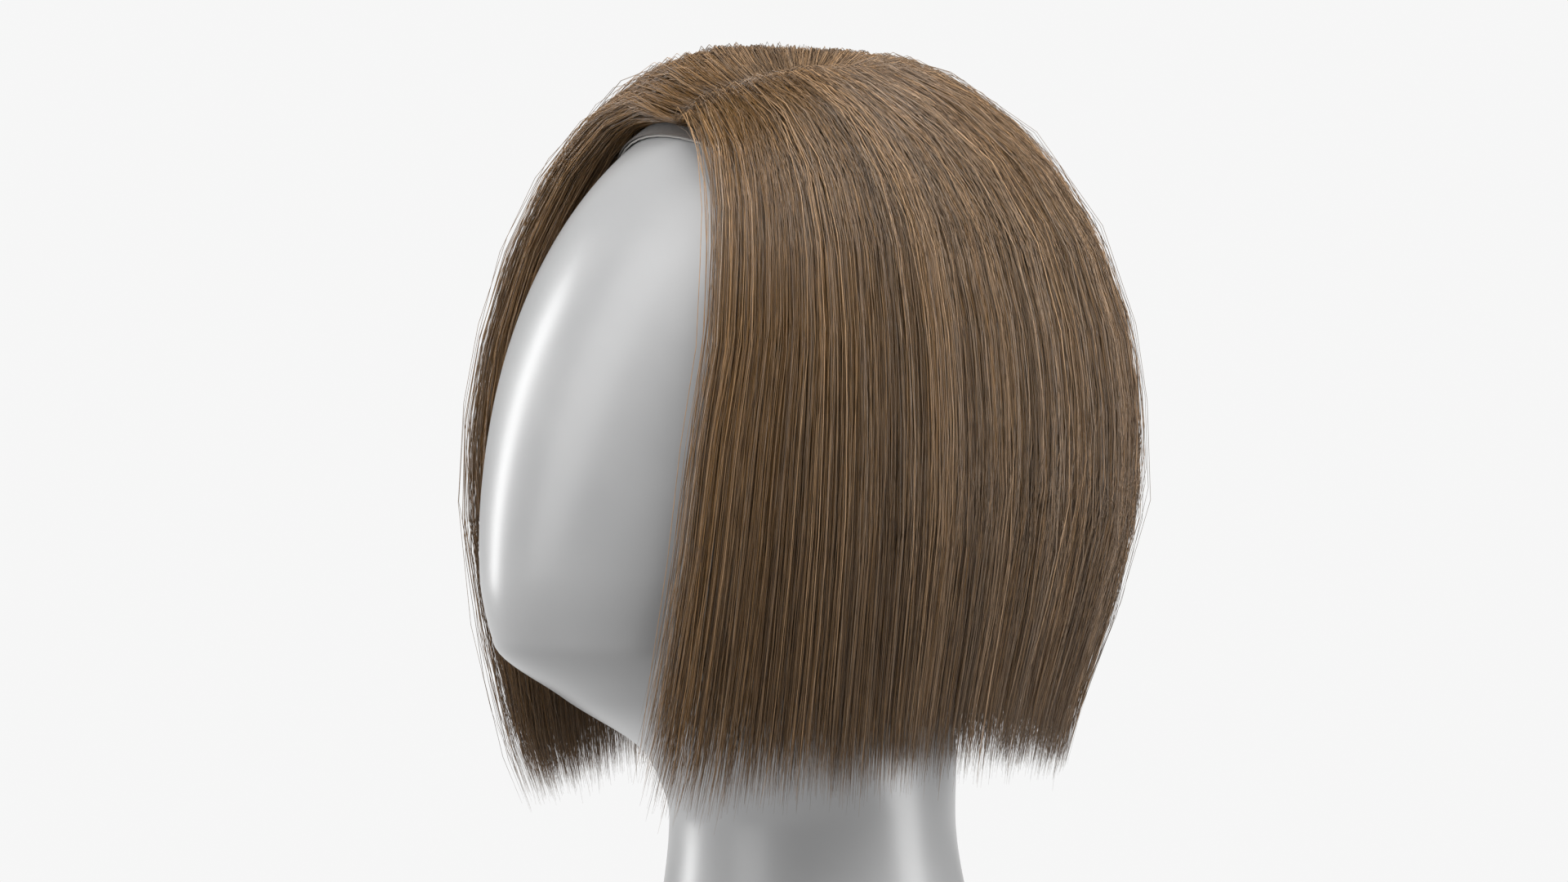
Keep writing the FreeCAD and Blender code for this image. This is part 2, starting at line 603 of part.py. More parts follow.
def make_nape():
    """The band, the loops across its middle, two casings, and the straps and hooks in them."""
    band_out = "(Sizes.nape_radius + Sizes.nape_thickness)"
    middle = "(Sizes.nape_low + Sizes.nape_height / 2)"
    node(bent("nape_band_bent", "Sizes.nape_radius", band_out, "Sizes.nape_low",
              "Sizes.nape_low + Sizes.nape_height", "-Sizes.nape_angle", "Sizes.nape_angle"), "nape_band")

    seat = "(%s + Sizes.sewn_gap)" % band_out
    loops = []
    width = "Sizes.loop_width / %s * 90 / pi" % band_out
    for turn in range(int(size("loop_count"))):
        at = "(%d - (Sizes.loop_count - 1) / 2) * Sizes.loop_spacing" % turn
        loops.append(bent("loop_%d" % turn, seat, seat + " + Sizes.loop_thickness",
                          middle + " - Sizes.loop_height / 2", middle + " + Sizes.loop_height / 2",
                          at + " - " + width, at + " + " + width))
    node(fuse("hook_loops_fuse", *loops), "hook_loops")

    slot_in = "(%s + Sizes.casing_wall)" % seat
    slot_out = "(%s + Sizes.strap_thickness + 2 * Sizes.strap_clearance)" % slot_in
    slot_half = "(Sizes.strap_height / 2 + Sizes.strap_clearance)"
    strap_in = "(%s + Sizes.strap_clearance)" % slot_in
    strap_mid = "(%s + Sizes.strap_thickness / 2)" % strap_in
    for side, word in ((1, "left"), (-1, "right")):
        span = sided(side, "Sizes.casing_angle", "Sizes.nape_angle")
        sleeve = bent("sleeve_" + word, seat, slot_out + " + Sizes.casing_wall",
                      "%s - %s - Sizes.casing_wall" % (middle, slot_half),
                      "%s + %s + Sizes.casing_wall" % (middle, slot_half), *span)
        past = sided(side, "Sizes.casing_angle - 1", "Sizes.nape_angle + 1")
        slot = bent("slot_" + word, slot_in, slot_out, "%s - %s" % (middle, slot_half),
                    "%s + %s" % (middle, slot_half), *past)
        node(cut("strap_casing_cut_" + word, sleeve, slot), "strap_casing_" + word)

        low = middle + " - Sizes.strap_height / 2"
        high = middle + " + Sizes.strap_height / 2"
        node(bent("strap_bent_" + word, strap_in, strap_in + " + Sizes.strap_thickness", low, high,
                  *sided(side, "Sizes.strap_angle", "Sizes.strap_tail_angle")), "adjuster_strap_" + word)
        hook_in = "%s - Sizes.hook_thickness / 2" % strap_mid
        hook_out = "%s + Sizes.hook_thickness / 2" % strap_mid
        plate = bent("hook_plate_" + word, hook_in, hook_out, low, high,
                     *sided(side, "Sizes.strap_angle - Sizes.hook_angle", "Sizes.strap_angle"))
        window = bent("hook_window_" + word, hook_in + " - 1", hook_out + " + 1",
                      low + " + Sizes.hook_bar", high + " - Sizes.hook_bar",
                      *sided(side, "Sizes.strap_angle - Sizes.hook_angle + Sizes.hook_tip",
                             "Sizes.strap_angle - Sizes.hook_grip"))
        node(cut("strap_hook_cut_" + word, plate, window), "strap_hook_" + word)
    return slot_out + " + Sizes.casing_wall"


# ---- Hair -----------------------------------------------------------------------------------

def cutter(name, role, corners):
    """A tool as thick as the model is wide, with an outline drawn in one of the upright planes."""
    owner = doc.addObject("PartDesign::Body", name)
    sketch = sketch_in(owner, name + "_outline", role)
    outline(sketch, corners)
    pad = owner.newObject("PartDesign::Pad", name + "_pad")
    pad.Profile = sketch
    pad.Length = 2 * LIMIT
    pad.Midplane = True
    doc.recompute()
    return owner


def make_hair(casing_out):
    """The hair as closed sections of one thick shell that is open round the face and below."""
    far = str(LIMIT)
    outside = form("hair_outside", hair_section, 0.0, size("ends_level"),
                   size("head_height") + size("hair_lift"), HAIR_SQUARENESS)
    core = form("hair_core", shadow_section, HAIR_IN, size("ends_level") - 10, size("head_height"))
    pocket = doc.addObject("Part::Cylinder", "nape_pocket")
    bind(pocket, Radius=casing_out + " + Sizes.pocket_room",
         Height="Sizes.nape_height + 2 * Sizes.pocket_rise")
    place(pocket, "0", "Sizes.nape_axis", "Sizes.nape_low - Sizes.pocket_rise")
    side_view = cutter("face_opening_side", "YZ_Plane", [
        ("-" + far, "0"), ("-Sizes.ends_reach", "0"), ("-Sizes.ends_reach", "Sizes.ends_level + Sizes.ends_rise"),
        ("-Sizes.edge_reach", "Sizes.edge_level"), ("-Sizes.edge_reach", far + " * 2"),
        ("-" + far, far + " * 2")])
    front_view = cutter("face_opening_front", "XZ_Plane", [
        ("-Sizes.fringe_side - Sizes.fringe_low", "0"), (far, "0"), (far, "Sizes.fringe_level"),
        ("Sizes.part_offset", "Sizes.fringe_level"), ("-Sizes.fringe_side", "Sizes.fringe_low")])
    opening = common("face_opening", side_view, front_view)
    mass = cut("hair_mass", cut("hair_hollow", cut("hair_solid", outside, core), pocket), opening)

    gap = "Sizes.section_gap / 2"
    below = ("0", "Sizes.crown_level - " + gap)
    above = ("Sizes.crown_level + " + gap, far + " * 2")
    left_part = ("Sizes.part_offset + " + gap, far)
    right_part = ("-" + far, "Sizes.part_offset - " + gap)
    fringe = block("fringe_box", right_part, ("-" + far, "-Sizes.fringe_reach - " + gap),
                   ("Sizes.fringe_low - Sizes.fringe_drop", far + " * 2"))
    node(common("crown_left_common", mass, block("crown_left_box", left_part, EVERYWHERE, above)),
         "hair_crown_left")
    crown_right = common("crown_right_common", mass,
                         block("crown_right_box", right_part, EVERYWHERE, above))
    node(cut("crown_right_cut", crown_right, fringe), "hair_crown_right")
    node(common("fringe_common", mass, fringe), "hair_fringe")

    spans = {
        "front": ("-" + far, "-Sizes.section_front - " + gap),
        "side": ("-Sizes.section_front + " + gap, "Sizes.section_back - " + gap),
        "back": ("Sizes.section_back + " + gap, far),
    }
    for word, across in (("left", (gap, far)), ("right", ("-" + far, "-" + gap))):
        for name, along in spans.items():
            label = "hair_%s_%s" % (name, word)
            piece = common(label + "_common", mass, block(label + "_box", across, along, below))
            if name == "front":
                piece = cut(label + "_cut", piece, fringe)
            node(piece, label)


make_head_shell()
make_screws(*make_foot())
make_socket()
make_cap()
make_wefts()
make_hair(make_nape())
doc.recompute()

for item in doc.Objects:
    if {"Invalid", "Error"} & set(item.State):
        raise RuntimeError("%s did not compute: %s" % (item.Name, item.State))
for piece in nodes:
    if piece.Shape.isNull() or not piece.Shape.isValid() or not piece.Shape.Solids:
        raise RuntimeError("%s has no valid solid" % piece.Label)

os.makedirs("parts", exist_ok=True)
for piece in nodes:
    piece.Shape.exportStep("parts/%s.step" % piece.Label)
    print("%-22s %2d solids %10.1f mm3" % (piece.Label, len(piece.Shape.Solids), piece.Shape.Volume))
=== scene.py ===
import math

import bmesh
import bpy
import numpy as np
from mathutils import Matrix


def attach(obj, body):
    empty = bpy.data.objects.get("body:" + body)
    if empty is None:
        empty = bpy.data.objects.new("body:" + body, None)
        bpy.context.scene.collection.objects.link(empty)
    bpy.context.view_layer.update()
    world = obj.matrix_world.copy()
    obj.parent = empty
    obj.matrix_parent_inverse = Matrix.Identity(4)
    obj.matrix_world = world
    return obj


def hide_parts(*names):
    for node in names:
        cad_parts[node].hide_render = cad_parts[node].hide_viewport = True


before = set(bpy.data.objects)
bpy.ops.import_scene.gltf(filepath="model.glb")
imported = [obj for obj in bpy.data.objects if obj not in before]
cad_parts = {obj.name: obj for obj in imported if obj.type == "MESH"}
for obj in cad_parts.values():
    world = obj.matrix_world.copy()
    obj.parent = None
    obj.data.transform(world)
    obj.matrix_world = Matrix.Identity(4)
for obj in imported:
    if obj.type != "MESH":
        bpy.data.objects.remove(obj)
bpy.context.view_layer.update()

# ---- Head ---------------------------------------------------------------------------------------
# The faceless head and its neck: a hollow moulding, bonded at the throat, filled, sanded and
# sprayed with satin-gloss grey lacquer, so that it reads as one smooth piece without a seam.

HEAD_TOP = 0.348
SKULL_LEVEL = 0.245
FACE_LEVEL = 0.171
CROWN_Y = -0.020
SHELL_WALL = 0.004
SHELL_FOOT = 0.003

# Level, half breadth, centre, front and back of the form, from the foot to the skull.
HEAD_STATIONS = np.array([
    [0.000, 0.0640, 0.000, -0.0640, 0.0640],
    [0.080, 0.0523, -0.003, -0.0553, 0.0500],
    [0.103, 0.0505, -0.010, -0.0650, 0.0525],
    [0.126, 0.0465, -0.031, -0.1040, 0.0547],
    [0.146, 0.0515, -0.038, -0.1335, 0.0580],
    [0.171, 0.0630, -0.030, -0.1380, 0.0630],
    [0.205, 0.0720, -0.025, -0.1380, 0.0705],
    [0.245, 0.0770, -0.020, -0.1380, 0.0770],
])


def through(levels, values, at):
    """A smooth curve through (level, value) stations: cubic pieces whose slope at each station is
    the harmonic mean of its neighbours' slopes, and level at both ends, so it never overshoots."""
    at = np.clip(at, levels[0], levels[-1])
    spans = np.diff(levels)
    rises = np.diff(values) / spans
    before, after = rises[:-1], rises[1:]
    same_way = before * after > 0
    inner = np.where(same_way, 2 * before * after / np.where(same_way, before + after, 1), 0)
    slopes = np.concatenate([[0], inner, [0]])
    k = np.clip(np.searchsorted(levels, at, side="right") - 1, 0, len(spans) - 1)
    t = (at - levels[k]) / spans[k]
    near = (1 + 2 * t) * (1 - t) ** 2 * values[k]
    far = t ** 2 * (3 - 2 * t) * values[k + 1]
    bend = spans[k] * t * (1 - t) * ((1 - t) * slopes[k] - t * slopes[k + 1])
    return near + far + bend


def arch(level, start, top, power):
    """1 at the start level, falling to 0 at the top as a quarter of a rounded arch does."""
    share = np.clip((level - start) / (top - start), 0, 1)
    return (1 - share ** power) ** (1 / power)


def head_section(level, grow=0.0):
    """Half breadth, centre, front and back of the head at each level, grown by a thickness."""
    levels = HEAD_STATIONS[:, 0]
    half, centre, front, back = (through(levels, HEAD_STATIONS[:, i], level) for i in range(1, 5))
    half, front, back = half + grow, front - grow, back + grow
    top = HEAD_TOP + grow
    front = CROWN_Y + (front - CROWN_Y) * arch(level, FACE_LEVEL, top, 1.9)
    dome = arch(level, SKULL_LEVEL, top, 2)
    return half * dome, centre, front, CROWN_Y + (back - CROWN_Y) * dome


def ring_points(section, level, angle, power=2.0):
    """Points round each level: an outline made of a front half and a back half that meet at the
    centre, each a rounded rectangle whose corners get squarer as the power grows."""
    half, centre, front, back = (np.asarray(v) for v in section)
    across = np.sign(np.cos(angle)) * np.abs(np.cos(angle)) ** (2 / power)
    along = np.abs(np.sin(angle)) ** (2 / power)
    x = half * across
    y = centre + along * np.where(np.sin(angle) > 0, back - centre, front - centre)
    return np.stack(np.broadcast_arrays(x, y, level), axis=-1)


def outward(points, faces):
    """The same faces, all turned over if together they enclose a negative volume."""
    volume = 0
    for part in faces:
        corners = points[part]
        for k in range(1, part.shape[1] - 1):
            area = np.cross(corners[:, k], corners[:, k + 1])
            volume += np.einsum("ij,ij->", corners[:, 0], area)
    return [part[:, ::-1] for part in faces] if volume < 0 else faces


def mesh_from(name, points, *faces):
    """A mesh object at the origin from points (n, 3) and arrays of faces with 3 or 4 corners."""
    mesh = bpy.data.meshes.new(name)
    faces = outward(points, faces)
    corners = np.concatenate([part.ravel() for part in faces]).astype(np.int32)
    sizes = np.concatenate([np.full(len(part), part.shape[1]) for part in faces])
    starts = np.concatenate([[0], np.cumsum(sizes)[:-1]]).astype(np.int32)
    mesh.vertices.add(len(points))
    mesh.vertices.foreach_set("co", np.ascontiguousarray(points, dtype=np.float32).ravel())
    mesh.loops.add(len(corners))
    mesh.loops.foreach_set("vertex_index", corners)
    mesh.polygons.add(len(starts))
    mesh.polygons.foreach_set("loop_start", starts)
    mesh.polygons.foreach_set("use_smooth", np.ones(len(starts), dtype=bool))
    mesh.update(calc_edges=True)
    piece = bpy.data.objects.new(name, mesh)
    bpy.context.scene.collection.objects.link(piece)
    return piece


def grid_faces(rows, columns, wrap_rows=False, wrap_columns=False):
    """Quads over a grid of points, row by row, closed round either way if it wraps."""
    r = np.arange(rows if wrap_rows else rows - 1)
    c = np.arange(columns if wrap_columns else columns - 1)
    r, c = (v.ravel() for v in np.meshgrid(r, c, indexing="ij"))
    below, beside = (r + 1) % rows, (c + 1) % columns
    return np.stack([r * columns + c, r * columns + beside, below * columns + beside,
                     below * columns + c], axis=1)


def fan(first, columns, apex, turned=False):
    """Triangles that close a ring of points, which starts at first, with one point."""
    c = np.arange(columns)
    ring = [first + c, first + (c + 1) % columns]
    return np.stack((ring[::-1] if turned else ring) + [np.full(columns, apex)], axis=1)


def material(name, roughness):
    """A node material with its Principled shader and its nodes, ready for a pattern."""
    made = bpy.data.materials.new(name)
    made.use_nodes = True
    shader = made.node_tree.nodes["Principled BSDF"]
    shader.inputs["Roughness"].default_value = roughness
    return made, made.node_tree, shader


def pattern(tree, kind, scale, stretch=(1, 1, 1), **values):
    """A pattern node on Object coordinates, in repeats per metre, stretched along each axis."""
    place = tree.nodes.new("ShaderNodeTexCoord")
    turn = tree.nodes.new("ShaderNodeMapping")
    turn.inputs["Scale"].default_value = stretch
    node = tree.nodes.new(kind)
    node.inputs["Scale"].default_value = scale
    for key, value in values.items():
        node.inputs[key].default_value = value
    tree.links.new(place.outputs["Object"], turn.inputs["Vector"])
    tree.links.new(turn.outputs["Vector"], node.inputs["Vector"])
    return node


def ramp(tree, source, stops):
    """A colour ramp between (position, colour) stops, fed by a pattern's output."""
    node = tree.nodes.new("ShaderNodeValToRGB")
    while len(node.color_ramp.elements) < len(stops):
        node.color_ramp.elements.new(0.5)
    for element, (position, colour) in zip(node.color_ramp.elements, stops):
        element.position = position
        element.color = (*colour, 1)
    tree.links.new(source, node.inputs["Fac"])
    return node.outputs["Color"]


def colour_by(tree, shader, source, *stops):
    """The shader's colour between (position, colour) stops, by a pattern's output."""
    tree.links.new(ramp(tree, source, stops), shader.inputs["Base Color"])


def raise_by(tree, shader, source, height, strength):
    """A bump of the given height in metres on the shader's surface."""
    bump = tree.nodes.new("ShaderNodeBump")
    bump.inputs["Distance"].default_value = height
    bump.inputs["Strength"].default_value = strength
    tree.links.new(source, bump.inputs["Height"])
    tree.links.new(bump.outputs["Normal"], shader.inputs["Normal"])


def lacquer():
    """Grey lacquer: a faint cloudiness in its colour and gloss, and fine orange peel."""
    made, tree, shader = material("head_lacquer", 0.3)
    cloud = pattern(tree, "ShaderNodeTexNoise", 18, Detail=4)
    colour_by(tree, shader, cloud.outputs["Fac"],
              (0.3, (0.235, 0.236, 0.238)), (0.7, (0.262, 0.262, 0.263)))
    gloss = ramp(tree, cloud.outputs["Fac"], [(0.3, (0.36,) * 3), (0.7, (0.42,) * 3)])
    tree.links.new(gloss, shader.inputs["Roughness"])
    peel = pattern(tree, "ShaderNodeTexNoise", 900, Detail=3)
    raise_by(tree, shader, peel.outputs["Fac"], 0.00004, 0.35)
    shader.inputs["Coat Weight"].default_value = 0.4
    shader.inputs["Coat Roughness"].default_value = 0.27
    return made


def head_surface():
    """The shell as one grid: down the inside from under the crown to the foot, round the lip, and
    up the outside. Rows are rings of the form's section at rising levels, with the crown's levels
    at the sine of an even angle; columns go round, and each crown is closed by a fan."""
    columns = 128
    wall = np.linspace(SHELL_FOOT, SKULL_LEVEL, 110)
    rise = np.sin(np.linspace(0, math.pi / 2, 62)[1:-1])
    angle = np.arange(columns) * 2 * math.pi / columns
    rings = []
    for grow in (-SHELL_WALL, 0.0):
        top = HEAD_TOP + grow
        levels = np.concatenate([wall, SKULL_LEVEL + (top - SKULL_LEVEL) * rise])[:, None]
        rings.append(ring_points(head_section(levels, grow), levels, angle))
    inner, outer = rings
    points = np.concatenate([inner[::-1], outer]).reshape(-1, 3)
    rows = len(inner) + len(outer)
    poles = np.array([[0, CROWN_Y, HEAD_TOP - SHELL_WALL], [0, CROWN_Y, HEAD_TOP]])
    last = (rows - 1) * columns
    return mesh_from("head", np.concatenate([points, poles]),
                     grid_faces(rows, columns, wrap_columns=True),
                     fan(0, columns, len(points), turned=True),
                     fan(last, columns, len(points) + 1))


head = head_surface()
head.data.materials.append(lacquer())
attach(head, "head")
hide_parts("head_shell", "neck_shell")

# ---- Foot and holder socket ---------------------------------------------------------------------
# Turned and pressed parts in the foot: black rubber ring, powder-coated ballast plate, beech
# plug and disc, countersunk zinc-plated screws, and the bright drawn tube for a holder's post.


def coat(node, made):
    """Gives a carried-over piece its material in every slot."""
    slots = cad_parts[node].data.materials
    if not len(slots):
        slots.append(made)
    for index in range(len(slots)):
        slots[index] = made


def rubber():
    """Moulded black rubber with a fine matt grain."""
    made, tree, shader = material("foot_rubber", 0.8)
    grain = pattern(tree, "ShaderNodeTexNoise", 600, Detail=5)
    colour_by(tree, shader, grain.outputs["Fac"], (0.3, (0.012,) * 3), (0.7, (0.03,) * 3))
    raise_by(tree, shader, grain.outputs["Fac"], 0.0002, 0.5)
    return made


def powder_coat():
    """Dark powder coat: a pebbled skin."""
    made, tree, shader = material("plate_powder_coat", 0.45)
    grain = pattern(tree, "ShaderNodeTexVoronoi", 1400)
    colour_by(tree, shader, grain.outputs["Distance"],
              (0.0, (0.018, 0.018, 0.02)), (0.8, (0.035, 0.035, 0.038)))
    raise_by(tree, shader, grain.outputs["Distance"], 0.0001, 0.5)
    return made


def beech():
    """Turned beech: year rings drawn out along the grain."""
    made, tree, shader = material("beech", 0.55)
    rings = pattern(tree, "ShaderNodeTexWave", 60, stretch=(1, 0.15, 0.4), Distortion=6, Detail=4)
    colour_by(tree, shader, rings.outputs["Color"],
              (0.2, (0.42, 0.26, 0.14)), (0.8, (0.58, 0.40, 0.24)))
    raise_by(tree, shader, rings.outputs["Color"], 0.0001, 0.4)
    return made


def bright_steel(name, stretch, roughness):
    """Bright metal with fine lines, drawn out along the axes that the stretch makes small."""
    made, tree, shader = material(name, roughness)
    shader.inputs["Metallic"].default_value = 1
    lines = pattern(tree, "ShaderNodeTexNoise", 500, stretch=stretch, Detail=4)
    colour_by(tree, shader, lines.outputs["Fac"],
              (0.3, (0.48, 0.48, 0.47)), (0.7, (0.66, 0.66, 0.65)))
    raise_by(tree, shader, lines.outputs["Fac"], 0.00002, 0.4)
    return made


coat("foot_pad", rubber())
coat("ballast_plate", powder_coat())
wood = beech()
coat("neck_plug", wood)
coat("socket_stop", wood)
coat("socket_bush", bright_steel("drawn_steel", (1, 1, 0.05), 0.28))
coat("plate_screws", bright_steel("zinc_plate", (1, 1, 1), 0.35))

# ---- Crown net and front lace -------------------------------------------------------------------
# The wig's base: dark stretch net cut on one sloping plane round the head, and a fine sheer lace
# at the forehead that is zigzagged to it.

EDGE_LEVEL = 0.258
EDGE_RISE = np.array([0, 0.606, 0.808])
SLOPE = math.sqrt(0.5)
LACE_Y = -0.056
NET_IN, NET_OUT = 0.0005, 0.0013
PLAY = 0.0001
CAP_RISE = 0.0764
CAP_RADIUS = 0.100


def cap_section(level, out):
    """What the wig must clear, at a distance: the head, carried straight down from its widest."""
    half, centre, _, back = head_section(np.maximum(level, SKULL_LEVEL), out)
    front = head_section(np.maximum(level, FACE_LEVEL), out)[2]
    return half, centre, front, back


def reach(section, x, y, power):
    """How far out a plan point lies, as a share of the outline: 1 on it, 0 at its centre."""
    half, centre, front, back = section
    along = np.where(y > centre, back - centre, centre - front)
    small = 1e-6
    return ((np.abs(x) / np.maximum(half, small)) ** power
            + (np.abs(y - centre) / np.maximum(along, small)) ** power) ** (1 / power)


def on_cap(start, toward, out):
    """Where rays from inside the head meet the layer at a distance from it, found by halving."""
    start, toward, out = np.broadcast_arrays(start, toward, np.asarray(out)[..., None])
    out = out[..., 0]
    low, high = np.zeros(out.shape), np.full(out.shape, 0.2)
    for _ in range(22):
        middle = (low + high) / 2
        x, y, level = np.moveaxis(start + toward * middle[..., None], -1, 0)
        inside = (level < HEAD_TOP + out) & (reach(cap_section(level, out), x, y, 2) < 1)
        low, high = np.where(inside, middle, low), np.where(inside, high, middle)
    return start + toward * low[..., None]


def cap_loop(height, turn, out):
    """Points of a layer of the cap at heights above the sloping plane of its edge: rays along that
    plane, at turns from the forehead, from the point EDGE_LEVEL up plus height times EDGE_RISE."""
    height, turn, out = np.broadcast_arrays(height, turn, out)
    start = np.array([0, 0, EDGE_LEVEL]) + height[..., None] * EDGE_RISE
    toward = np.stack([np.sin(turn), -SLOPE * np.cos(turn), SLOPE * np.cos(turn)], axis=-1)
    return on_cap(start, toward, out)


def loop_turn(height, y):
    """The turn at which each loop crosses a plane across the head; 0 where it lies behind it."""
    turns = np.linspace(0, math.pi, 181)
    line = cap_loop(np.asarray(height)[:, None], turns, NET_OUT)[..., 1]
    return np.array([np.interp(y, row, turns) for row in line])


def shell(name, outer, inner, wrap=False):
    """A thin closed sheet between two grids of points, joined all along its free edges."""
    rows, columns = outer.shape[:2]
    count = rows * columns
    front = grid_faces(rows, columns, wrap_columns=wrap)
    c = np.arange(columns if wrap else columns - 1)
    d = (c + 1) % columns
    end = (rows - 1) * columns
    parts = [front, front[:, ::-1] + count, np.stack([d, c, c + count, d + count], axis=1),
             np.stack([c + end, d + end, d + end + count, c + end + count], axis=1)]
    if not wrap:
        a = np.arange(rows - 1) * columns
        b = a + columns
        z = columns - 1
        parts += [np.stack([a, b, b + count, a + count], axis=1),
                  np.stack([b + z, a + z, a + z + count, b + z + count], axis=1)]
    return mesh_from(name, np.concatenate([outer.reshape(-1, 3), inner.reshape(-1, 3)]), *parts)


def sew_on(piece, made, nodes, carrier="wig"):
    """Gives a modelled piece its material and its place among the pieces of its body."""
    piece.data.materials.append(made)
    piece.name = nodes[0] + "_fabric"
    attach(piece, carrier)
    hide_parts(*nodes)


def woven(name, dark, light, threads, height=0.0003):
    """Cloth: two crossed sets of threads per metre, with painted shade in the gaps between them,
    and a sheen.
    """
    made, tree, shader = material(name, 0.85)
    shader.inputs["Sheen Weight"].default_value = 0.25
    warp = pattern(tree, "ShaderNodeTexWave", threads, Distortion=0.5)
    weft = pattern(tree, "ShaderNodeTexWave", threads, Distortion=0.5)
    warp.bands_direction, weft.bands_direction = "DIAGONAL", "Z"
    cross = tree.nodes.new("ShaderNodeMath")
    cross.operation = "MAXIMUM"
    tree.links.new(warp.outputs["Fac"], cross.inputs[0])
    tree.links.new(weft.outputs["Fac"], cross.inputs[1])
    # The dark stop is painted shade in the gaps between the threads; the light stop is the
    # threads' own colour.
    colour_by(tree, shader, cross.outputs[0], (0.35, dark), (0.9, light))
    raise_by(tree, shader, cross.outputs[0], height, 0.7)
    return made


def crowned(sheet, out):
    """A grid of points closed over the crown: rings drawn in from its last row to a pole."""
    middle = np.array([0, 0, EDGE_LEVEL])
    pole = EDGE_RISE / np.linalg.norm(EDGE_RISE)
    rim = sheet[-1] - middle
    rim /= np.linalg.norm(rim, axis=-1, keepdims=True)
    share = np.array([0.7, 0.35, 0])[:, None, None]
    return np.concatenate([sheet, on_cap(middle, rim * share + pole * (1 - share), out)])


def weld(piece):
    """Joins the points of a sheet that coincide, and takes out the faces left inside its seam."""
    form = bmesh.new()
    form.from_mesh(piece.data)
    bmesh.ops.remove_doubles(form, verts=form.verts, dist=1e-6)
    inside = [face for face in form.faces
              if sum(len(edge.link_faces) > 2 for edge in face.edges) > 1]
    bmesh.ops.delete(form, geom=inside, context="FACES")
    form.to_mesh(piece.data)
    form.free()
    return piece


def base_layer(name, low_turn, high_turn, heights, made, columns, over_crown=False):
    """A part of the base between two turns on each loop, rippled where the edge gathers it."""
    share = np.linspace(0, 1, columns)[None, :]
    turn = low_turn[:, None] + (high_turn - low_turn)[:, None] * share
    ripple = 0.0001 * np.sin(turn * 90) * np.clip(1 - heights[:, None] / 0.03, 0, 1)
    outer = cap_loop(heights[:, None], turn, NET_OUT - PLAY + ripple)
    inner = cap_loop(heights[:, None], turn, NET_IN + PLAY + ripple)
    if over_crown:
        outer, inner = crowned(outer, NET_OUT - PLAY), crowned(inner, NET_IN + PLAY)
    sew_on(weld(shell(name, outer, inner)), made, [name])


fall = np.linspace(math.acos(1 - CAP_RISE / CAP_RADIUS), 0.02, 72)
loops = CAP_RISE - CAP_RADIUS * (1 - np.cos(fall))
net = woven("cap_net", (0.004, 0.003, 0.002), (0.040, 0.027, 0.018), 420)
start = loop_turn(loops, LACE_Y)
base_layer("crown_net", start, 2 * math.pi - start, loops, net, 240, over_crown=True)
front = loops[start > 0.05]
half_turn = loop_turn(front, LACE_Y)
lace = woven("front_lace", (0.13, 0.12, 0.11), (0.27, 0.255, 0.24), 620, 0.0001)
base_layer("front_lace", -half_turn, half_turn, front, lace, 64)

# ---- Edge binding -------------------------------------------------------------------------------
# Folded tape, stitched twice, that closes the edge of the base all the way round.


def rounded(width, thickness, count, power=5):
    """A rounded band's profile: a superellipse as wide and as thick as the band."""
    angle = np.arange(count) * 2 * math.pi / count
    return (width / 2 * np.sign(np.cos(angle)) * np.abs(np.cos(angle)) ** (2 / power),
            thickness / 2 * np.sign(np.sin(angle)) * np.abs(np.sin(angle)) ** (2 / power))


def tube(rings, closed=False):
    """A profile carried along a path: rings of points, each closed, that end in a flat fan."""
    rows, columns = rings.shape[:2]
    points = rings.reshape(-1, 3)
    quads = grid_faces(rows, columns, wrap_rows=closed, wrap_columns=True)
    if closed:
        return points, [quads]
    ends = np.stack([rings[0].mean(axis=0), rings[-1].mean(axis=0)])
    count = len(points)
    caps = [fan(0, columns, count, turned=True), fan((rows - 1) * columns, columns, count + 1)]
    return np.concatenate([points, ends]), [quads] + caps


def joined(name, parts):
    """One object of several closed tubes."""
    points, faces, count = [], [], 0
    for part, sets in parts:
        points.append(part)
        faces += [face + count for face in outward(part, sets)]
        count += len(part)
    return mesh_from(name, np.concatenate(points), *faces)


BINDING = 0.009
TAPE_MIDDLE, TAPE_THICK = 0.00195, 0.0007
SEAM_OUT, SEAM_WIDTH, SEAM_DEPTH = 0.0032, 0.0004, 0.00016
tape = woven("cap_tape", (0.008, 0.006, 0.004), (0.050, 0.034, 0.023), 900, 0.0001)
turn = np.linspace(0, 2 * math.pi, 420, endpoint=False)[:, None]
rise, away = rounded(BINDING * 0.98, TAPE_THICK, 40)
stitch = 0.6 + 0.4 * np.sin(turn * 210)
seam = SEAM_DEPTH * np.exp(-((np.abs(rise) - SEAM_OUT) / SEAM_WIDTH) ** 2) * stitch
binding = cap_loop(BINDING / 2 + rise, turn, TAPE_MIDDLE + away - seam * np.sign(away))
sew_on(joined("edge_binding", [tube(binding, closed=True)]), tape, ["edge_binding"])

# ---- Parting strip ------------------------------------------------------------------------------
# A padded strip of skin-coloured knotted gauze under the parting, a little proud of the net.

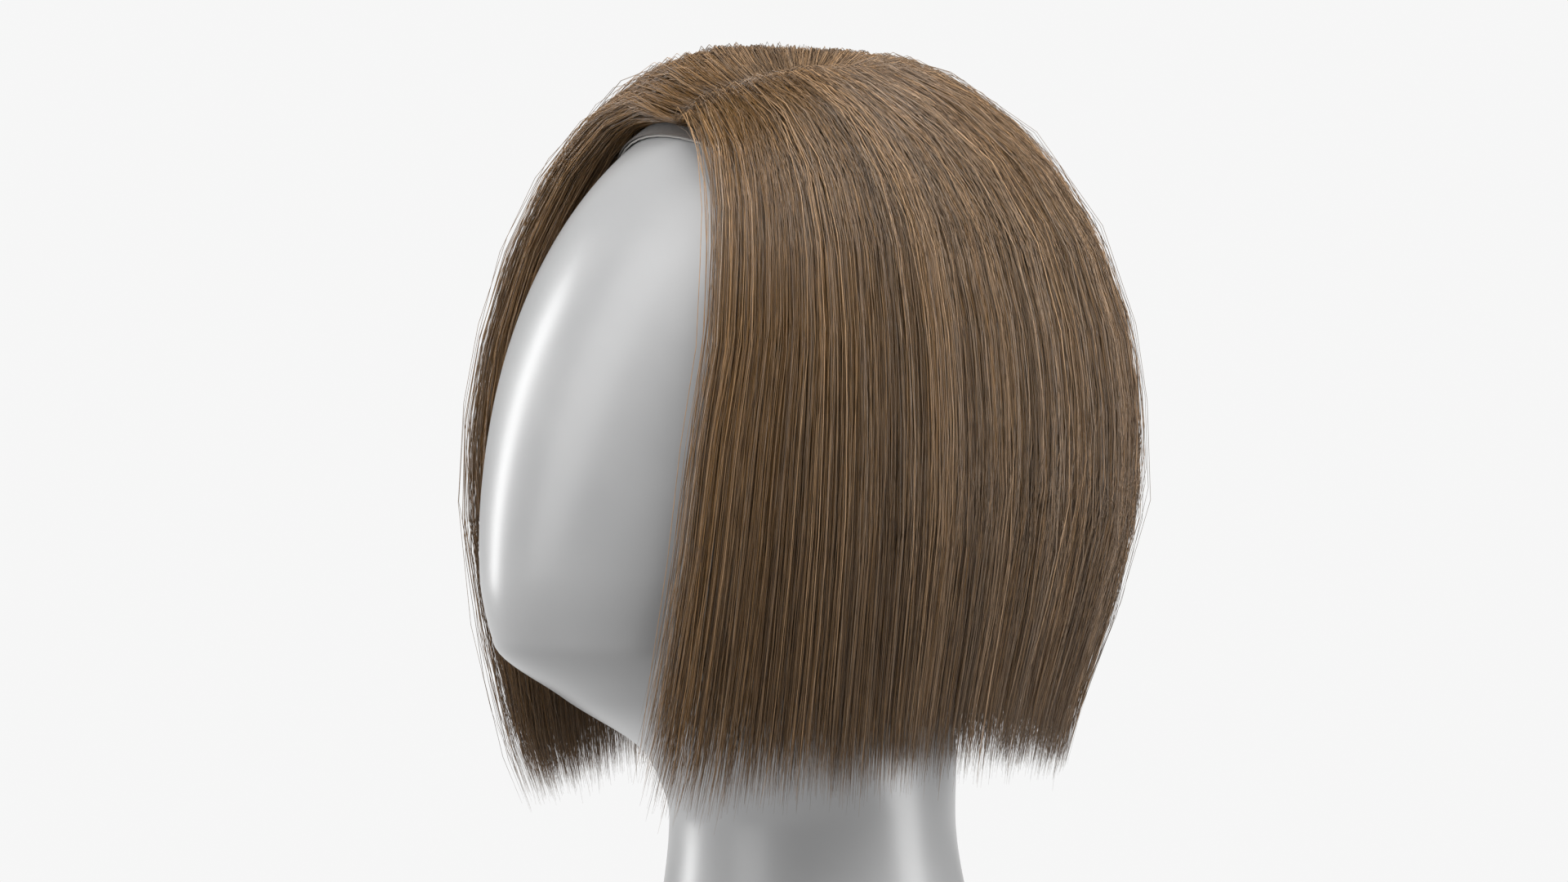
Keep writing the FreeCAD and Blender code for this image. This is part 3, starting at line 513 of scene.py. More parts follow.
PART_X, PART_HALF, PART_BACK = 0.026, 0.011, 0.012
PART_IN, PART_OUT = 0.0021, 0.0028
PART_START = 0.0095
across = np.linspace(-1, 1, 30)[:, None]
along = np.linspace(0, 1, 110)[None, :]
line_turn = np.linspace(0, 1.4, 90)
line = cap_loop(PART_START, line_turn, PART_OUT)
x = PART_X + PART_HALF * across
first = np.interp(x, line[:, 0], line[:, 1])
y = first + (PART_BACK - first) * along
x = np.broadcast_to(x, y.shape)
knot = 0.00008 * np.sin(x * 4200) * np.sin(y * 4200)
edge = 0.0003 * np.clip((np.abs(across) - 0.9) / 0.1, 0, 1)
lying = np.stack([x, y, np.full_like(y, SKULL_LEVEL)], axis=-1)
up = np.array([0, 0, 1.0])
strip = shell("parting_strip", on_cap(lying, up, PART_OUT - PLAY + knot - edge),
              on_cap(lying, up, PART_IN + edge))
skin = woven("parting_skin", (0.20, 0.13, 0.09), (0.48, 0.35, 0.25), 1200, 0.0001)
sew_on(strip, skin, ["parting_strip"])

# ---- Ear tabs and nape net ----------------------------------------------------------------------
# Net tabs in front of the ears with a stay sewn on, and the net below the edge at the nape.

TAB_Y, TAB_HALF, TAB_LOW, TAB_CORNER = -0.050, 0.012, 0.208, 0.010
LAYER_GAP = 0.0003
share = np.linspace(0, 1, 60)[:, None]
across = np.linspace(-1, 1, 22)[None, :]
low = TAB_LOW + TAB_CORNER * (1 - np.sqrt(1 - (0.96 * across) ** 2))
y = TAB_Y + TAB_HALF * across
level = low + (EDGE_LEVEL - LAYER_GAP - y - low) * share
y = np.broadcast_to(y, level.shape)
for side, way in (("left", 1.0), ("right", -1.0)):
    start = np.stack([0 * y, y, level], axis=-1)
    toward = np.array([way, 0, 0])
    hem = 0.00018 * np.exp(-((1 - np.abs(across)) / 0.12) ** 2)
    tab = shell("ear_tab_" + side, on_cap(start, toward, NET_OUT - 2 * PLAY + hem),
                on_cap(start, toward, NET_IN + PLAY))
    sew_on(tab, net, ["ear_tab_" + side])

NAPE_Y = 0.014
NAPE_LOW, NAPE_HIGH = 0.150, 0.178
angle = np.radians(np.linspace(-41.5, 41.5, 90))[None, :]
share = np.linspace(0, 1, 24)[:, None]
toward = np.stack([np.sin(angle), np.cos(angle), 0 * angle], axis=-1)
level = np.full((1, 90), NAPE_HIGH)
for _ in range(4):
    edge = on_cap(np.stack([0 * level, NAPE_Y + 0 * level, level], axis=-1), toward, NET_OUT)
    level = EDGE_LEVEL - 0.0004 - edge[..., 1]
level = NAPE_LOW + (level - NAPE_LOW) * share
start = np.stack([0 * level, NAPE_Y + 0 * level, level], axis=-1)
gather = 0.0001 * np.sin(angle * 160)
nape = shell("nape_net", on_cap(start, toward, NET_OUT - PLAY + gather),
             on_cap(start, toward, NET_IN + PLAY + gather))
sew_on(nape, net, ["nape_net"])

# ---- Weft rows ----------------------------------------------------------------------------------
# Machine-sewn hair wefts: rounded tracks of thread in rows round the back and sides of the net.

WEFT_FIRST, WEFT_SPACING, WEFT_HEIGHT, WEFT_THICK = 0.0125, 0.013, 0.0024, 0.0013
WEFT_MIDDLE = 0.00225
OPEN_HALF = 0.0484
thread = woven("weft_thread", (0.010, 0.007, 0.004), (0.085, 0.058, 0.036), 1500, 0.0001)
rise, away = rounded(WEFT_HEIGHT * 0.96, WEFT_THICK * 0.94, 12, 2.5)


def weft_row(height, low, high):
    """One track between two turns, its profile pinched by every stitch."""
    turn = np.linspace(low, high, max(8, int((high - low) / 0.012)))[:, None]
    pinch = 1 - 0.12 * (0.5 + 0.5 * np.sin(turn * 190))
    return tube(cap_loop(height + rise * pinch, turn, WEFT_MIDDLE + away * pinch))


rows = {"back": [], "left": [], "right": []}
turns = np.linspace(0, math.pi, 181)
for number in range(5):
    height = WEFT_FIRST + number * WEFT_SPACING
    line = cap_loop(height, turns, WEFT_MIDDLE)
    behind = np.interp(PART_BACK + 0.001, line[:, 1], turns)
    rows["back"].append(weft_row(height, behind, 2 * math.pi - behind))
    widest = np.argmax(line[:, 0])
    aside = np.interp(OPEN_HALF, line[:widest + 1, 0], turns[:widest + 1])
    ahead = np.interp(PART_BACK - 0.0001, line[:, 1], turns)
    if line[widest, 0] > OPEN_HALF + 0.002 and ahead - aside > 0.06:
        rows["left"].append(weft_row(height, aside, ahead))
        rows["right"].append(weft_row(height, -ahead, -aside))
for side, parts in rows.items():
    sew_on(joined("weft_rows_" + side, parts), thread, ["weft_rows_" + side])

# ---- Nape band, casings and loops ---------------------------------------------------------------
# Ribbed elastic across the nape, a gathered sleeve at each end of it for an adjuster strap, and
# seven thread loops across its middle that the straps hook into.

BAND_R, BAND_THICK, BAND_MIDDLE, BAND_WIDTH = 0.0652, 0.0010, 0.165, 0.026
SEAT_R = 0.06575


def round_nape(angle, radius, level):
    """Points about the nape's upright axis, at angles from straight back."""
    angle, radius, level = np.broadcast_arrays(angle, radius, level)
    return np.stack([radius * np.sin(angle), NAPE_Y + radius * np.cos(angle), level], axis=-1)


angle = np.radians(np.linspace(-42, 42, 240))[:, None]
up, out = rounded(BAND_WIDTH, BAND_THICK * 0.9, 36)
rib = 0.00004 * np.sin(angle * 420) * np.sign(out)
band = round_nape(angle, BAND_R + out + rib, BAND_MIDDLE + up)
sew_on(joined("nape_band", [tube(band)]), tape, ["nape_band"])

LOOP_STEP, LOOP_HALF, LOOP_WIDTH, LOOP_THICK = 3.2, 0.008, 0.0011, 0.0004
LOOP_COUNT = 7
around = np.linspace(0, 2 * math.pi, 8, endpoint=False)[None, :]
reach_up = np.linspace(-1, 1, 26)[:, None]
loop_rise = LOOP_HALF * 0.99 * reach_up
loops_made = []
for number in range(LOOP_COUNT):
    centre = math.radians((number - LOOP_COUNT // 2) * LOOP_STEP)
    side = LOOP_WIDTH / 2 / SEAT_R * np.cos(around) * (1 + 0.1 * np.sin(reach_up * 40))
    depth = SEAT_R + LOOP_THICK / 2 + 0.9 * LOOP_THICK / 2 * np.sin(around)
    loops_made.append(tube(round_nape(centre + side, depth, BAND_MIDDLE + loop_rise)))
sew_on(joined("hook_loops", loops_made), tape, ["hook_loops"])

SLOT_IN, SLOT_OUT, SLOT_HALF, CASING_WALL = 0.06655, 0.06835, 0.0058, 0.0008
slot_depth = SLOT_OUT - SLOT_IN
up_in, out_in = rounded(2 * SLOT_HALF, slot_depth, 40, 6)
up_out, out_out = rounded(2 * (SLOT_HALF + CASING_WALL), slot_depth + 2 * CASING_WALL, 40, 6)
middle = (SLOT_IN + SLOT_OUT) / 2
angle = np.linspace(21, 42, 90)[:, None]
gather = 0.0001 * (np.sin(angle * 9) - 1) * (out_out > 0)
for side, way in (("left", 1), ("right", -1)):
    name = "strap_casing_" + side
    turn = np.radians(angle) * way
    outer = round_nape(turn, middle + out_out + gather, BAND_MIDDLE + up_out)
    inner = round_nape(turn, middle + out_in, BAND_MIDDLE + up_in)
    sew_on(shell(name, outer, inner, wrap=True), tape, [name])

# ---- Adjuster straps ----------------------------------------------------------------------------
# Flat braided elastic that slides in its casing, with a nylon hook at the inner end; and the soft
# metal stays of the ear tabs.

STRAP_WIDTH, STRAP_THICK = 0.011, 0.0012
elastic = woven("elastic", (0.006, 0.005, 0.004), (0.055, 0.040, 0.028), 1300, 0.0001)
up, out = rounded(STRAP_WIDTH * 0.98, STRAP_THICK * 0.9, 36)
angle = np.radians(np.linspace(19.05, 39.95, 80))[:, None]
braid = 0.00005 * np.sin(up * 5200) * np.sign(out)
for side, way in (("left", 1), ("right", -1)):
    name = "adjuster_strap_" + side
    strap = round_nape(angle * way, middle + out + braid, BAND_MIDDLE + up)
    sew_on(joined(name, [tube(strap)]), elastic, [name], "strap_" + side)
    coat("ear_stay_" + side, bright_steel("stay_" + side, (1, 0.1, 1), 0.4))
    nylon, tree, shader = material("hook_nylon_" + side, 0.5)
    grain = pattern(tree, "ShaderNodeTexNoise", 800)
    colour_by(tree, shader, grain.outputs["Fac"],
              (0.3, (0.01, 0.008, 0.007)), (0.7, (0.025, 0.02, 0.017)))
    coat("strap_hook_" + side, nylon)

# ---- Hair ---------------------------------------------------------------------------------------
# Straight brown fibre, rooted along the parting and in rows over the cap, combed down and cut
# blunt below the chin. Each piece is one hairdresser's section, made of locks of single fibres.

HAIR_TOP = 0.366
HAIR_LEVEL = 0.205
HAIR_HALF = 0.104
HAIR_BACK = 0.122
HAIR_FRONT = -0.136
ENDS_LEVEL = 0.090
ENDS_HALF = 0.085
ENDS_BACK = 0.087
HAIR_POWER = 2.4
CAP_OUT = 0.0034
SHOULDER = 0.276
ROOT_SHARE = 0.3
ROOF_SHARES = np.array([0, 0.10, 0.27, 0.50, 0.74, 0.93])
ROOF_PLAY = np.array([0, 0.06, 0.16, 0.22, 0.20, 0.10])
WALL_SHARES = np.array([0.10, 0.28, 0.50, 0.74, 0.90, 1.0])
WALL_PLAY = np.array([0.10, 0.16, 0.20, 0.14, 0.06, 0.0])
SIDES = 3
LOCKS, STRANDS = 264, 10
LOCK_WIDTH, LOCK_DEPTH = 0.0038, 0.0010
TUFTS = 9
OUTERMOST, INNERMOST = 0.06, 0.94
PARTING_DEPTH = 0.55
NAPE_LEANS, NAPE_DEPTHS = [135, 150], [1, 0.88]
STRAND_RADIUS = 0.00009, 0.00016
CURL_ACROSS, CURL_AWAY, SLANT = 0.0004, 0.0003, 0.0016
FREE_SHARE, FREE_SHEER = 0.06, 0.10
STRAY = 0.001, 0.0045
LONGEST = -0.016
OVERHANG = 1.02

rng = np.random.default_rng(20)


def hair_section(level):
    """Half breadth, centre, front and back of the haircut's outline at each level."""
    levels = np.array([ENDS_LEVEL, HAIR_LEVEL])
    full = arch(level, HAIR_LEVEL, HAIR_TOP, 2.3)
    half = through(levels, np.array([ENDS_HALF, HAIR_HALF]), level) * full
    back = CROWN_Y + (through(levels, np.array([ENDS_BACK, HAIR_BACK]), level) - CROWN_Y) * full
    front = CROWN_Y + (HAIR_FRONT - CROWN_Y) * arch(level, FACE_LEVEL, HAIR_TOP, 2)
    return half, np.full_like(half, CROWN_Y), front, back


def roof_level(x, y, section, top, power):
    """The height at which a form's outline passes over each plan point, found by halving."""
    low = np.full_like(x, SHOULDER - 0.07)
    high = np.full_like(x, top)
    for _ in range(22):
        middle = (low + high) / 2
        inside = reach(section(middle), x, y, power) < 1
        low = np.where(inside, middle, low)
        high = np.where(inside, high, middle)
    return (low + high) / 2


def outline_point(azimuth, level):
    """The haircut's outline at an azimuth: 0 at the face, 90 degrees on the head's left."""
    dx, dy = np.sin(azimuth), -np.cos(azimuth)
    share = reach(hair_section(level), dx, CROWN_Y + dy, HAIR_POWER)
    return dx / share, CROWN_Y + dy / share


def sink(x, y, level, depth):
    """Moves points from the haircut's outline towards the cap by a depth between 0 and 1."""
    fall = (HAIR_TOP - HEAD_TOP - CAP_OUT) / (HAIR_TOP - HAIR_LEVEL)
    inner_level = level - np.maximum(level - HAIR_LEVEL, 0) * fall
    share = np.maximum(reach(cap_section(inner_level, CAP_OUT), x, y, 2), 1e-3)
    grow = np.where(level > HAIR_LEVEL, 1 / share, np.minimum(1 / share, 1))
    inner_x, inner_y = x * grow, CROWN_Y + (y - CROWN_Y) * grow
    return np.stack([x + (inner_x - x) * depth, y + (inner_y - y) * depth,
                     level + (inner_level - level) * depth], axis=-1)


def smooth(t):
    """An even rise from 0 to 1 that is level at both ends."""
    return t * t * (3 - 2 * t)


def lock_paths(root_x, root_y, azimuth, sweep, depth, ends):
    """The middle line of each lock: a plan curve over the crown from its root, square to the
    parting, to the shoulder of the haircut, and then down the wall to its end."""
    edge_x, edge_y = outline_point(azimuth, np.full_like(azimuth, SHOULDER))
    out = np.hypot(edge_x - root_x, edge_y - root_y)
    turn_x = root_x + (edge_x - root_x) * 0.38
    turn_y = root_y + (edge_y - root_y) * 0.12
    near_x = edge_x - np.sin(azimuth) * out * 0.28
    near_y = edge_y + np.cos(azimuth) * out * 0.28
    shift = rng.uniform(-0.5, 0.5, (len(azimuth), 1))
    t = ROOF_SHARES + shift * ROOF_PLAY
    weights = ((1 - t) ** 3, 3 * t * (1 - t) ** 2, 3 * t * t * (1 - t), t ** 3)
    x = sum(w * v[:, None] for w, v in zip(weights, (root_x, turn_x, near_x, edge_x)))
    y = sum(w * v[:, None] for w, v in zip(weights, (root_y, turn_y, near_y, edge_y)))
    level = roof_level(x, y, hair_section, HAIR_TOP, HAIR_POWER)
    rooted = 1 - smooth(np.clip(t / ROOT_SHARE, 0, 1))
    roof = sink(x, y, level, depth[:, None] + (1 - depth[:, None]) * rooted)
    down = WALL_SHARES + shift * WALL_PLAY
    wall_level = SHOULDER + (ends[:, None] - SHOULDER) * down
    wall_azimuth = azimuth[:, None] + sweep(wall_level)
    wall_x, wall_y = outline_point(wall_azimuth, wall_level)
    wall = sink(wall_x, wall_y, wall_level, np.broadcast_to(depth[:, None], wall_x.shape))
    return np.concatenate([roof, wall], axis=1)


def strand_mesh(name, paths, radius, colours):
    """Fibres as three-sided tubes: a small triangle carried along each path, closed at both ends,
    thin at the root and fine at the tip. Each fibre has its own cell of the bake map."""
    count, rings = paths.shape[:2]
    along = np.gradient(paths, axis=1)
    along /= np.linalg.norm(along, axis=2, keepdims=True) + 1e-12
    out = paths - np.array([0, CROWN_Y, 0.2])
    out[:, :, 2] *= 0.5
    side = np.cross(along, out)
    side /= np.linalg.norm(side, axis=2, keepdims=True) + 1e-12
    up = np.cross(side, along)
    turn = rng.uniform(0, 2 * math.pi, count)[:, None] + np.arange(SIDES) * 2 * math.pi / SIDES
    taper = np.interp(np.linspace(0, 1, rings), [0, 0.12, 0.72, 0.9, 1], [0.7, 1, 0.95, 0.7, 0.15])
    size = (radius[:, None] * taper)[:, :, None, None]
    corner = (np.cos(turn)[:, None, :, None] * side[:, :, None, :]
              + np.sin(turn)[:, None, :, None] * up[:, :, None, :])
    points = (paths[:, :, None, :] + corner * size).reshape(-1, 3)
    one = grid_faces(rings, SIDES, wrap_columns=True)
    quads = (one[None] + (np.arange(count) * rings * SIDES)[:, None, None]).reshape(-1, 4)
    first = np.arange(count) * rings * SIDES
    last = first + (rings - 1) * SIDES
    caps = np.concatenate([np.stack([first, first + 2, first + 1], axis=1),
                           np.stack([last, last + 1, last + 2], axis=1)])
    piece = mesh_from(name, points, quads, caps)
    mesh = piece.data
    corners = np.empty(quads.size + caps.size, dtype=np.int32)
    mesh.loops.foreach_get("vertex_index", corners)
    tone = mesh.color_attributes.new("tone", "FLOAT_COLOR", "POINT")
    full = np.ones((count, rings, SIDES, 4), dtype=np.float32)
    full[..., :3] = colours[:, :, None, :]
    tone.data.foreach_set("color", full.ravel())
    cells = math.ceil(math.sqrt(count))
    strand = corners // (rings * SIDES)
    ring = (corners // SIDES) % rings
    around = corners % SIDES
    u = (strand % cells + 0.25 + 0.25 * around) / cells
    v = (strand // cells + 0.15 + 0.7 * ring / (rings - 1)) / cells
    bake = np.stack([u, v], axis=1).astype(np.float32)
    mesh.uv_layers.new(name="OFBake").data.foreach_set("uv", bake.ravel())
    return piece


def hair_fibre():
    """Fibre: each one's own tone, which carries a painted crown highlight, slightly broken up
    along its length, with a soft satin gloss.
    """
    made, tree, shader = material("hair_fibre", 0.3)
    shader.inputs["Specular IOR Level"].default_value = 0.48
    tone = tree.nodes.new("ShaderNodeAttribute")
    tone.attribute_name = "tone"
    speck = pattern(tree, "ShaderNodeTexNoise", 900, stretch=(1, 1, 0.12), Detail=2)
    shade = ramp(tree, speck.outputs["Fac"], [(0.3, (0.78, 0.78, 0.78)), (0.7, (1.2, 1.18, 1.15))])
    mix = tree.nodes.new("ShaderNodeMix")
    mix.data_type = "RGBA"
    mix.blend_type = "MULTIPLY"
    mix.inputs["Factor"].default_value = 1
    tree.links.new(tone.outputs["Color"], mix.inputs["A"])
    tree.links.new(shade, mix.inputs["B"])
    tree.links.new(mix.outputs["Result"], shader.inputs["Base Color"])
    return made


TAN = (0.335, 0.210, 0.113)
BROWN = (0.096, 0.052, 0.021)
GOLDEN = (0.164, 0.083, 0.021)
ASH = (0.200, 0.144, 0.098)
DARK = (0.032, 0.018, 0.009)
PALETTE = np.array([TAN, BROWN, GOLDEN, ASH, DARK])


def drift(angle, waves, seed):
    """A smooth random course round the head between 0 and 1: a few sine waves added up."""
    own = np.random.default_rng(seed)
    counts = own.integers(waves // 2, waves * 2, 6)
    return 0.5 + sum(np.sin(angle * c + own.uniform(0, 2 * math.pi)) for c in counts) / 12


def tones(azimuth, strands, rings):
    """Fibres lean to golden in front and ash behind, in streaks that drift round the head, with
    tan and dark ones between; each varies about its lock's tone, and the roots are darker. Along
    its length each fibre is lighter where it lies over the crown, a painted highlight, and a
    little darker down the fall, painted shade."""
    ashy = smooth(np.clip((np.degrees(np.abs(azimuth)) - 62) / 50, 0, 1))[:, None]
    warm = np.array(GOLDEN) * (1 - ashy) + np.array(ASH) * ashy
    light = (np.clip(drift(azimuth, 26, 3) * 1.7 - 0.72, 0, 1) * 0.5)[:, None]
    dark = (np.clip(drift(azimuth, 38, 7) * 1.9 - 0.95, 0, 1) * 0.55)[:, None]
    mean = warm * 0.5 + np.array(BROWN) * 0.5
    lock = mean * (1 - light) + np.array(TAN) * light
    lock = lock * (1 - dark) + np.array(DARK) * dark
    lock = lock * rng.uniform(0.72, 1.26, (len(azimuth), 1))
    lock = lock * (1 - 0.3 * np.exp(-((np.degrees(azimuth) - 72) / 15) ** 2))[:, None]
    own = np.repeat(lock, strands, axis=0)
    other = PALETTE[rng.choice(5, len(own), p=[0.22, 0.26, 0.18, 0.18, 0.16])]
    blend = rng.uniform(0, 0.85, (len(own), 1)) ** 1.3
    own = (own * (1 - blend) + other * blend) * rng.uniform(0.7, 1.32, (len(own), 1))
    # Along each fibre: darker at the root, a painted highlight where it lies over the crown, and
    # painted shade down the lower fall.
    along = np.interp(np.linspace(0, 1, rings), [0, 0.06, 0.22, 0.45, 0.8, 1],
                      [0.4, 0.9, 1.3, 1.05, 0.86, 0.9])
    return own[:, None, :] * along[None, :, None]


def parting(share):
    """Plan points along the parting, from the hairline (0) back to the crown (1)."""
    return (np.interp(share, [0, 0.45, 1], [0.017, 0.026, 0.027]),
            np.interp(share, [0, 1], [-0.0705, -0.002]))


def cut_level(lean):
    """Height of the blunt cut at a turn from the face: longest in front, shortest behind."""
    return np.interp(lean, [30, 60, 90, 125, 180], [0.096, 0.100, 0.107, 0.114, 0.106])


def hairline(share, side):
    """Plan points along the front edge of the cap, from the parting (0) back over one ear (1)."""
    shares = [0, 0.25, 0.6, 0.8, 1]
    beside = 0.030 if side > 0 else -0.020
    x = np.interp(share, shares, [0.017, beside, 0.050 * side, 0.065 * side, 0.075 * side])
    return x, np.interp(share, shares, [-0.0700, -0.0665, -0.050, -0.035, -0.010])


def lock_lines(start, end, sweep, roots, veil):
    """Locks between two azimuths, from the outside in: the outer ones rooted in tufts along the
    parting, the rest in rows over the cap or along its front edge. Returns their azimuths and
    middle lines."""
    share = (np.arange(LOCKS) + rng.uniform(0, 1, LOCKS)) / LOCKS
    azimuth = np.radians(start + (end - start) * share)
    lean = np.degrees(np.abs(azimuth))
    depth = OUTERMOST + (INNERMOST - OUTERMOST) * rng.uniform(0, 1, LOCKS) ** veil
    depth = depth * np.interp(lean, NAPE_LEANS, NAPE_DEPTHS)
    outer = depth < PARTING_DEPTH
    tuft = roots[0] + (roots[1] - roots[0]) * share + rng.normal(0, 0.02, LOCKS)
    tuft = np.clip((np.round(tuft * TUFTS) + rng.normal(0, 0.2, LOCKS)) / TUFTS, 0, 1)
    root_x, root_y = parting(tuft)
    root_x = root_x + rng.normal(0, 0.0016, LOCKS)
    row = rng.uniform(0.35, 0.97, LOCKS)
    edge_x, edge_y = outline_point(azimuth, np.full(LOCKS, SHOULDER))
    line_x, line_y = hairline(rng.uniform(0, 0.85, LOCKS), math.copysign(1, start + end))
    edged = ~outer & (lean < 85) & (rng.random(LOCKS) < 0.6)
    root_x = np.select([outer, edged], [root_x, line_x], edge_x * row)
    root_y = np.select([outer, edged], [root_y, line_y], CROWN_Y + (edge_y - CROWN_Y) * row)
    ends = cut_level(lean) + 0.006 * depth + rng.normal(0, 0.002, LOCKS)
    fade = np.clip((80 - lean) / 34, 0, 1)[:, None]
    return azimuth, lock_paths(root_x, root_y, azimuth,
                               lambda level: fade * np.radians(sweep(level)), depth, ends)


def strand_paths(azimuth, centre):
    """The fibres of each lock: its middle line moved across and away from the head, with a slight
    wave and slant, some standing away as single fibres, and each cut to its own length."""
    lean = np.degrees(np.abs(azimuth))
    paths = np.repeat(centre, STRANDS, axis=0)
    total, rings = paths.shape[:2]
    t = np.linspace(0, 1, rings)[None, :]
    tangent = np.stack([-(paths[:, -1, 1] - CROWN_Y), paths[:, -1, 0]], axis=1)
    tangent /= np.linalg.norm(tangent, axis=1, keepdims=True)
    normal = np.stack([tangent[:, 1], -tangent[:, 0]], axis=1)
    close = np.interp(t, [0, 0.15, 0.5, 0.85, 1], [0.5, 0.9, 1.0, 0.9, 0.75])
    wave = rng.uniform(0, 2 * math.pi, (total, 1))
    curl = np.sin(wave + t * rng.uniform(2, 6, (total, 1))) * smooth(np.clip(t * 3, 0, 1))
    slant = rng.normal(0, SLANT, (total, 1)) * (t - 0.4)
    across = LOCK_WIDTH * rng.normal(0, 1, (total, 1)) * close + CURL_ACROSS * curl + slant
    sheer = np.repeat((azimuth < 0) & (lean < 80), STRANDS)[:, None]
    free = rng.random((total, 1)) < FREE_SHARE + FREE_SHEER * sheer
    stray = np.where(free, rng.uniform(*STRAY, (total, 1)), 0) * smooth(np.clip(t * 2.2, 0, 1))
    away = LOCK_DEPTH * rng.normal(0, 1, (total, 1)) * close + CURL_AWAY * curl + stray
    paths[:, :, :2] += (across[:, :, None] * tangent[:, None, :]
                        + away[:, :, None] * normal[:, None, :])
    paths[:, :, 2] += away * 0.7 * (1 - smooth(np.clip(t * 1.6, 0, 1)))
    behind_ear = smooth(np.clip((lean - 85) / 25, 0, 1)) * smooth(np.clip((175 - lean) / 30, 0, 1))
    thin = np.repeat(behind_ear, STRANDS)
    trim = rng.uniform(-0.012, 0.021 + 0.016 * thin + 0.012 * sheer[:, 0], total)
    trim = trim - np.where(rng.random(total) < 0.12, rng.exponential(0.005, total), 0)
    trim = np.maximum(trim, LONGEST)
    paths[:, :, 2] += trim[:, None] * smooth(np.clip((t - 0.45) / 0.55, 0, 1))
    over = reach(hair_section(paths[:, :, 2]), paths[:, :, 0], paths[:, :, 1], HAIR_POWER)
    held = np.where(paths[:, :, 2] < SHOULDER, np.minimum(1, OVERHANG / over), 1)[:, :, None]
    paths[:, :, :2] = [0, CROWN_Y] + (paths[:, :, :2] - [0, CROWN_Y]) * held
    paths[:, :, 2] = np.minimum(paths[:, :, 2], HAIR_TOP - 0.0003)
    return paths


def hair_piece(name, nodes, start, end, sweep, roots, veil):
    """One hairdresser's section as a piece of its own, in place of its plain solid."""
    azimuth, centre = lock_lines(start, end, sweep, roots, veil)
    paths = strand_paths(azimuth, centre)
    radius = rng.uniform(*STRAND_RADIUS, len(paths))
    piece = strand_mesh(name, paths, radius, tones(azimuth, STRANDS, paths.shape[1]))
    piece.data.materials.append(fibre)
    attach(piece, "wig")
    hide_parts(*nodes)


def near_sweep(level):
    """How far the near front edge swings forwards, in degrees, as it falls."""
    return -np.interp(level, [0.08, 0.111, 0.135, 0.159, 0.186, 0.213, 0.252],
                      [17, 12, 9.5, 6.5, 4.5, 3, 0])


def far_sweep(level):
    """How the far front edge falls straight and turns in at its ends."""
    return -np.interp(level, [0.08, 0.093, 0.114, 0.147, 0.231, 0.276], [11, 9, 3, 0, -1, 0])


fibre = hair_fibre()
for name, start, end, sweep, roots, veil in (
        ("hair_front_left", 46.5, 75, near_sweep, (0, 0.25), 1.7),
        ("hair_side_left", 73, 108, near_sweep, (0.22, 0.5), 1.7),
        ("hair_crown_left", 106, 142, near_sweep, (0.45, 0.9), 1.7),
        ("hair_back_left", 140, 182, near_sweep, (0.85, 1), 1.7),
        ("hair_back_right", -180, -140, far_sweep, (1, 0.85), 1.7),
        ("hair_crown_right", -142, -106, far_sweep, (0.9, 0.45), 1.7),
        ("hair_side_right", -108, -72, far_sweep, (0.5, 0.22), 1.7),
        ("hair_front_right", -76, -50, far_sweep, (0.3, 0.1), 1.0),
        ("hair_fringe", -68, -45, far_sweep, (0.2, 0), 1.0)):
    hair_piece(name + "_fibres", [name], start, end, sweep, roots, veil)

# ---- Floor, light and camera --------------------------------------------------------------------
# A pale floor that runs far back and can be looked through from below, four large soft lights and
# a bright room. The camera looks level, between the face and the left side.

CAMERA_AZIMUTH = math.radians(57)
VIEW_ACROSS = -0.0127
VIEW_LEVEL = 0.219
VIEW_WIDTH = 0.576
LENS = 150
SENSOR = 36
PALE = 0.925
FLOOR_LEVEL = -0.0005


def seen_only(tree, seen, lit, node_type):
    """A background or an emission with one strength to the eye and another as a light."""
    node = tree.nodes.new(node_type)
    node.inputs["Color"].default_value = (PALE, PALE, PALE, 1)
    path = tree.nodes.new("ShaderNodeLightPath")
    strength = tree.nodes.new("ShaderNodeMapRange")
    strength.inputs["To Min"].default_value = lit
    strength.inputs["To Max"].default_value = seen
    tree.links.new(path.outputs["Is Camera Ray"], strength.inputs["Value"])
    tree.links.new(strength.outputs["Result"], node.inputs["Strength"])
    return node


floor = mesh_from("floor", np.array([[-30, -30, FLOOR_LEVEL], [30, -30, FLOOR_LEVEL],
                                     [30, 30, FLOOR_LEVEL], [-30, 30, FLOOR_LEVEL]]),
                  np.array([[0, 1, 2, 3]]))
paper, tree, _ = material("floor_paper", 0.9)
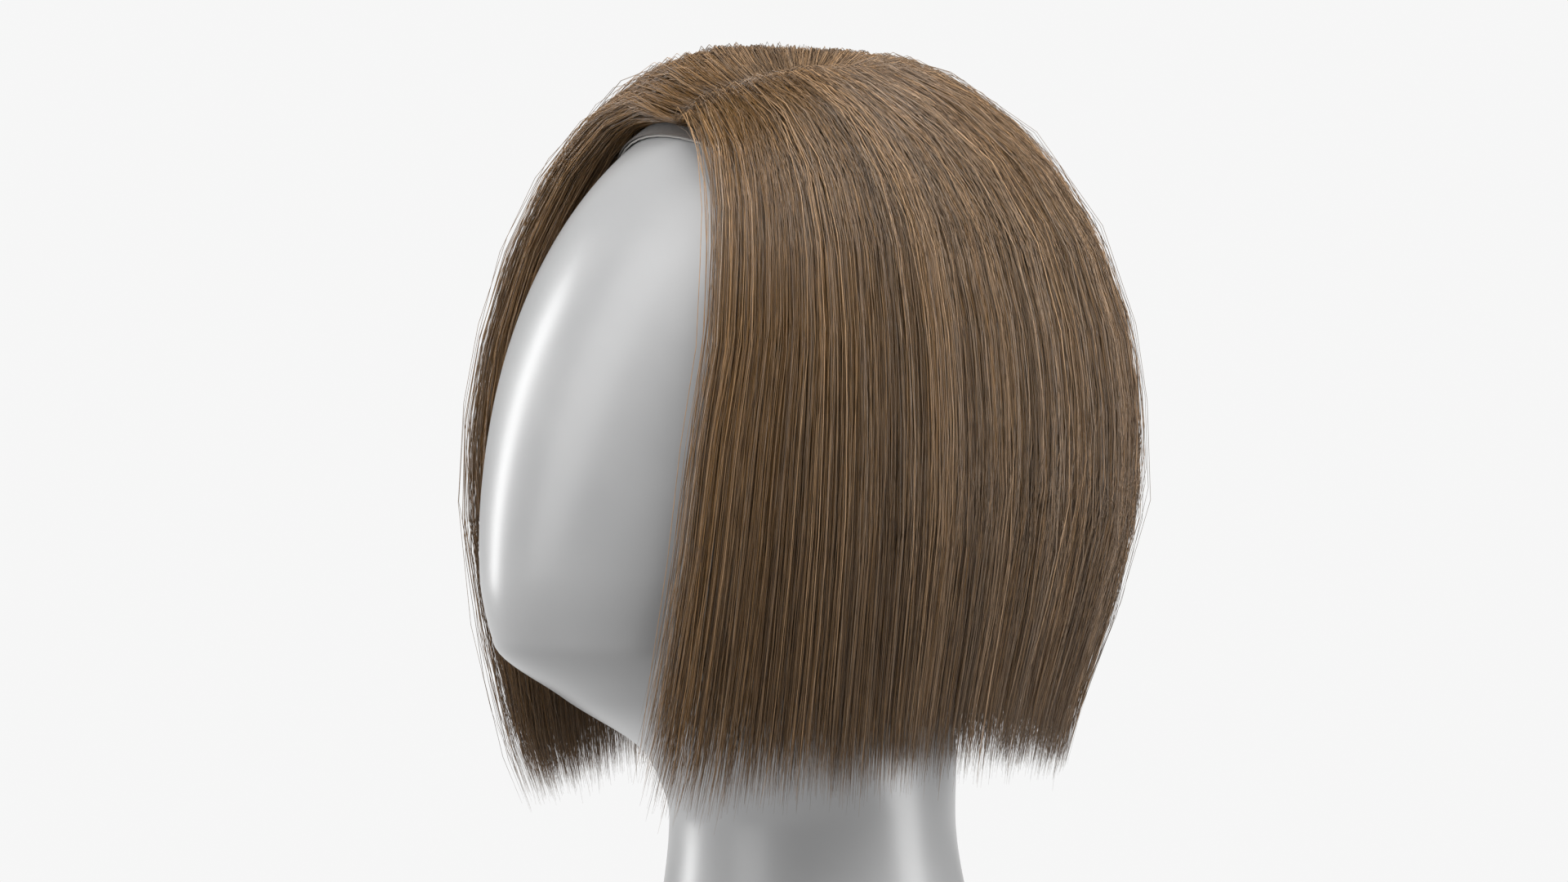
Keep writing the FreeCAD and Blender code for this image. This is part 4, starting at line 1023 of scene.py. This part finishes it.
# The floor lies below the origin, so mesh_from turns its face down: its back is the side seen.
glow = seen_only(tree, 1.0, 1.1, "ShaderNodeEmission")
clear = tree.nodes.new("ShaderNodeBsdfTransparent")
sided = tree.nodes.new("ShaderNodeMixShader")
tree.links.new(tree.nodes.new("ShaderNodeNewGeometry").outputs["Backfacing"], sided.inputs["Fac"])
tree.links.new(clear.outputs["BSDF"], sided.inputs[1])
tree.links.new(glow.outputs["Emission"], sided.inputs[2])
tree.links.new(sided.outputs["Shader"], tree.nodes["Material Output"].inputs["Surface"])
floor.data.materials.append(paper)


def lamp(name, azimuth, elevation, distance, size, power):
    """A wide soft light aimed at the middle of the head from an azimuth and an elevation."""
    light = bpy.data.lights.new(name, "AREA")
    light.shape = "RECTANGLE"
    light.size, light.size_y = size
    light.energy = power
    holder = bpy.data.objects.new(name, light)
    bpy.context.scene.collection.objects.link(holder)
    a, e = math.radians(azimuth), math.radians(elevation)
    back = np.array([math.sin(a) * math.cos(e), -math.cos(a) * math.cos(e), math.sin(e)])
    holder.location = tuple(np.array([0, 0, VIEW_LEVEL]) + back * distance)
    holder.rotation_euler = (math.pi / 2 - e, 0, a)


lamp("key", 6, 24, 1.6, (0.8, 1.7), 14)
lamp("edge", -54, 2, 1.6, (0.4, 1.9), 25)
lamp("top", 72, 62, 1.5, (1.2, 1.2), 38)
lamp("rim", 138, 12, 1.8, (0.8, 1.8), 34)
world = bpy.data.worlds.new("room")
world.use_nodes = True
room = seen_only(world.node_tree, 1.0, 0.38, "ShaderNodeBackground")
sky = world.node_tree.nodes["World Output"]
world.node_tree.links.new(room.outputs["Background"], sky.inputs["Surface"])
bpy.context.scene.world = world
bpy.context.scene.view_settings.view_transform = "Standard"

camera_data = bpy.data.cameras.new("camera")
camera_data.lens = LENS
camera_data.sensor_width = SENSOR
camera = bpy.data.objects.new("camera", camera_data)
bpy.context.scene.collection.objects.link(camera)
distance = VIEW_WIDTH / SENSOR * LENS
right = np.array([math.cos(CAMERA_AZIMUTH), math.sin(CAMERA_AZIMUTH), 0])
back = np.array([math.sin(CAMERA_AZIMUTH), -math.cos(CAMERA_AZIMUTH), 0])
camera.location = tuple(right * VIEW_ACROSS + back * distance + np.array([0, 0, VIEW_LEVEL]))
camera.rotation_euler = (math.pi / 2, 0, CAMERA_AZIMUTH)
bpy.context.scene.camera = camera
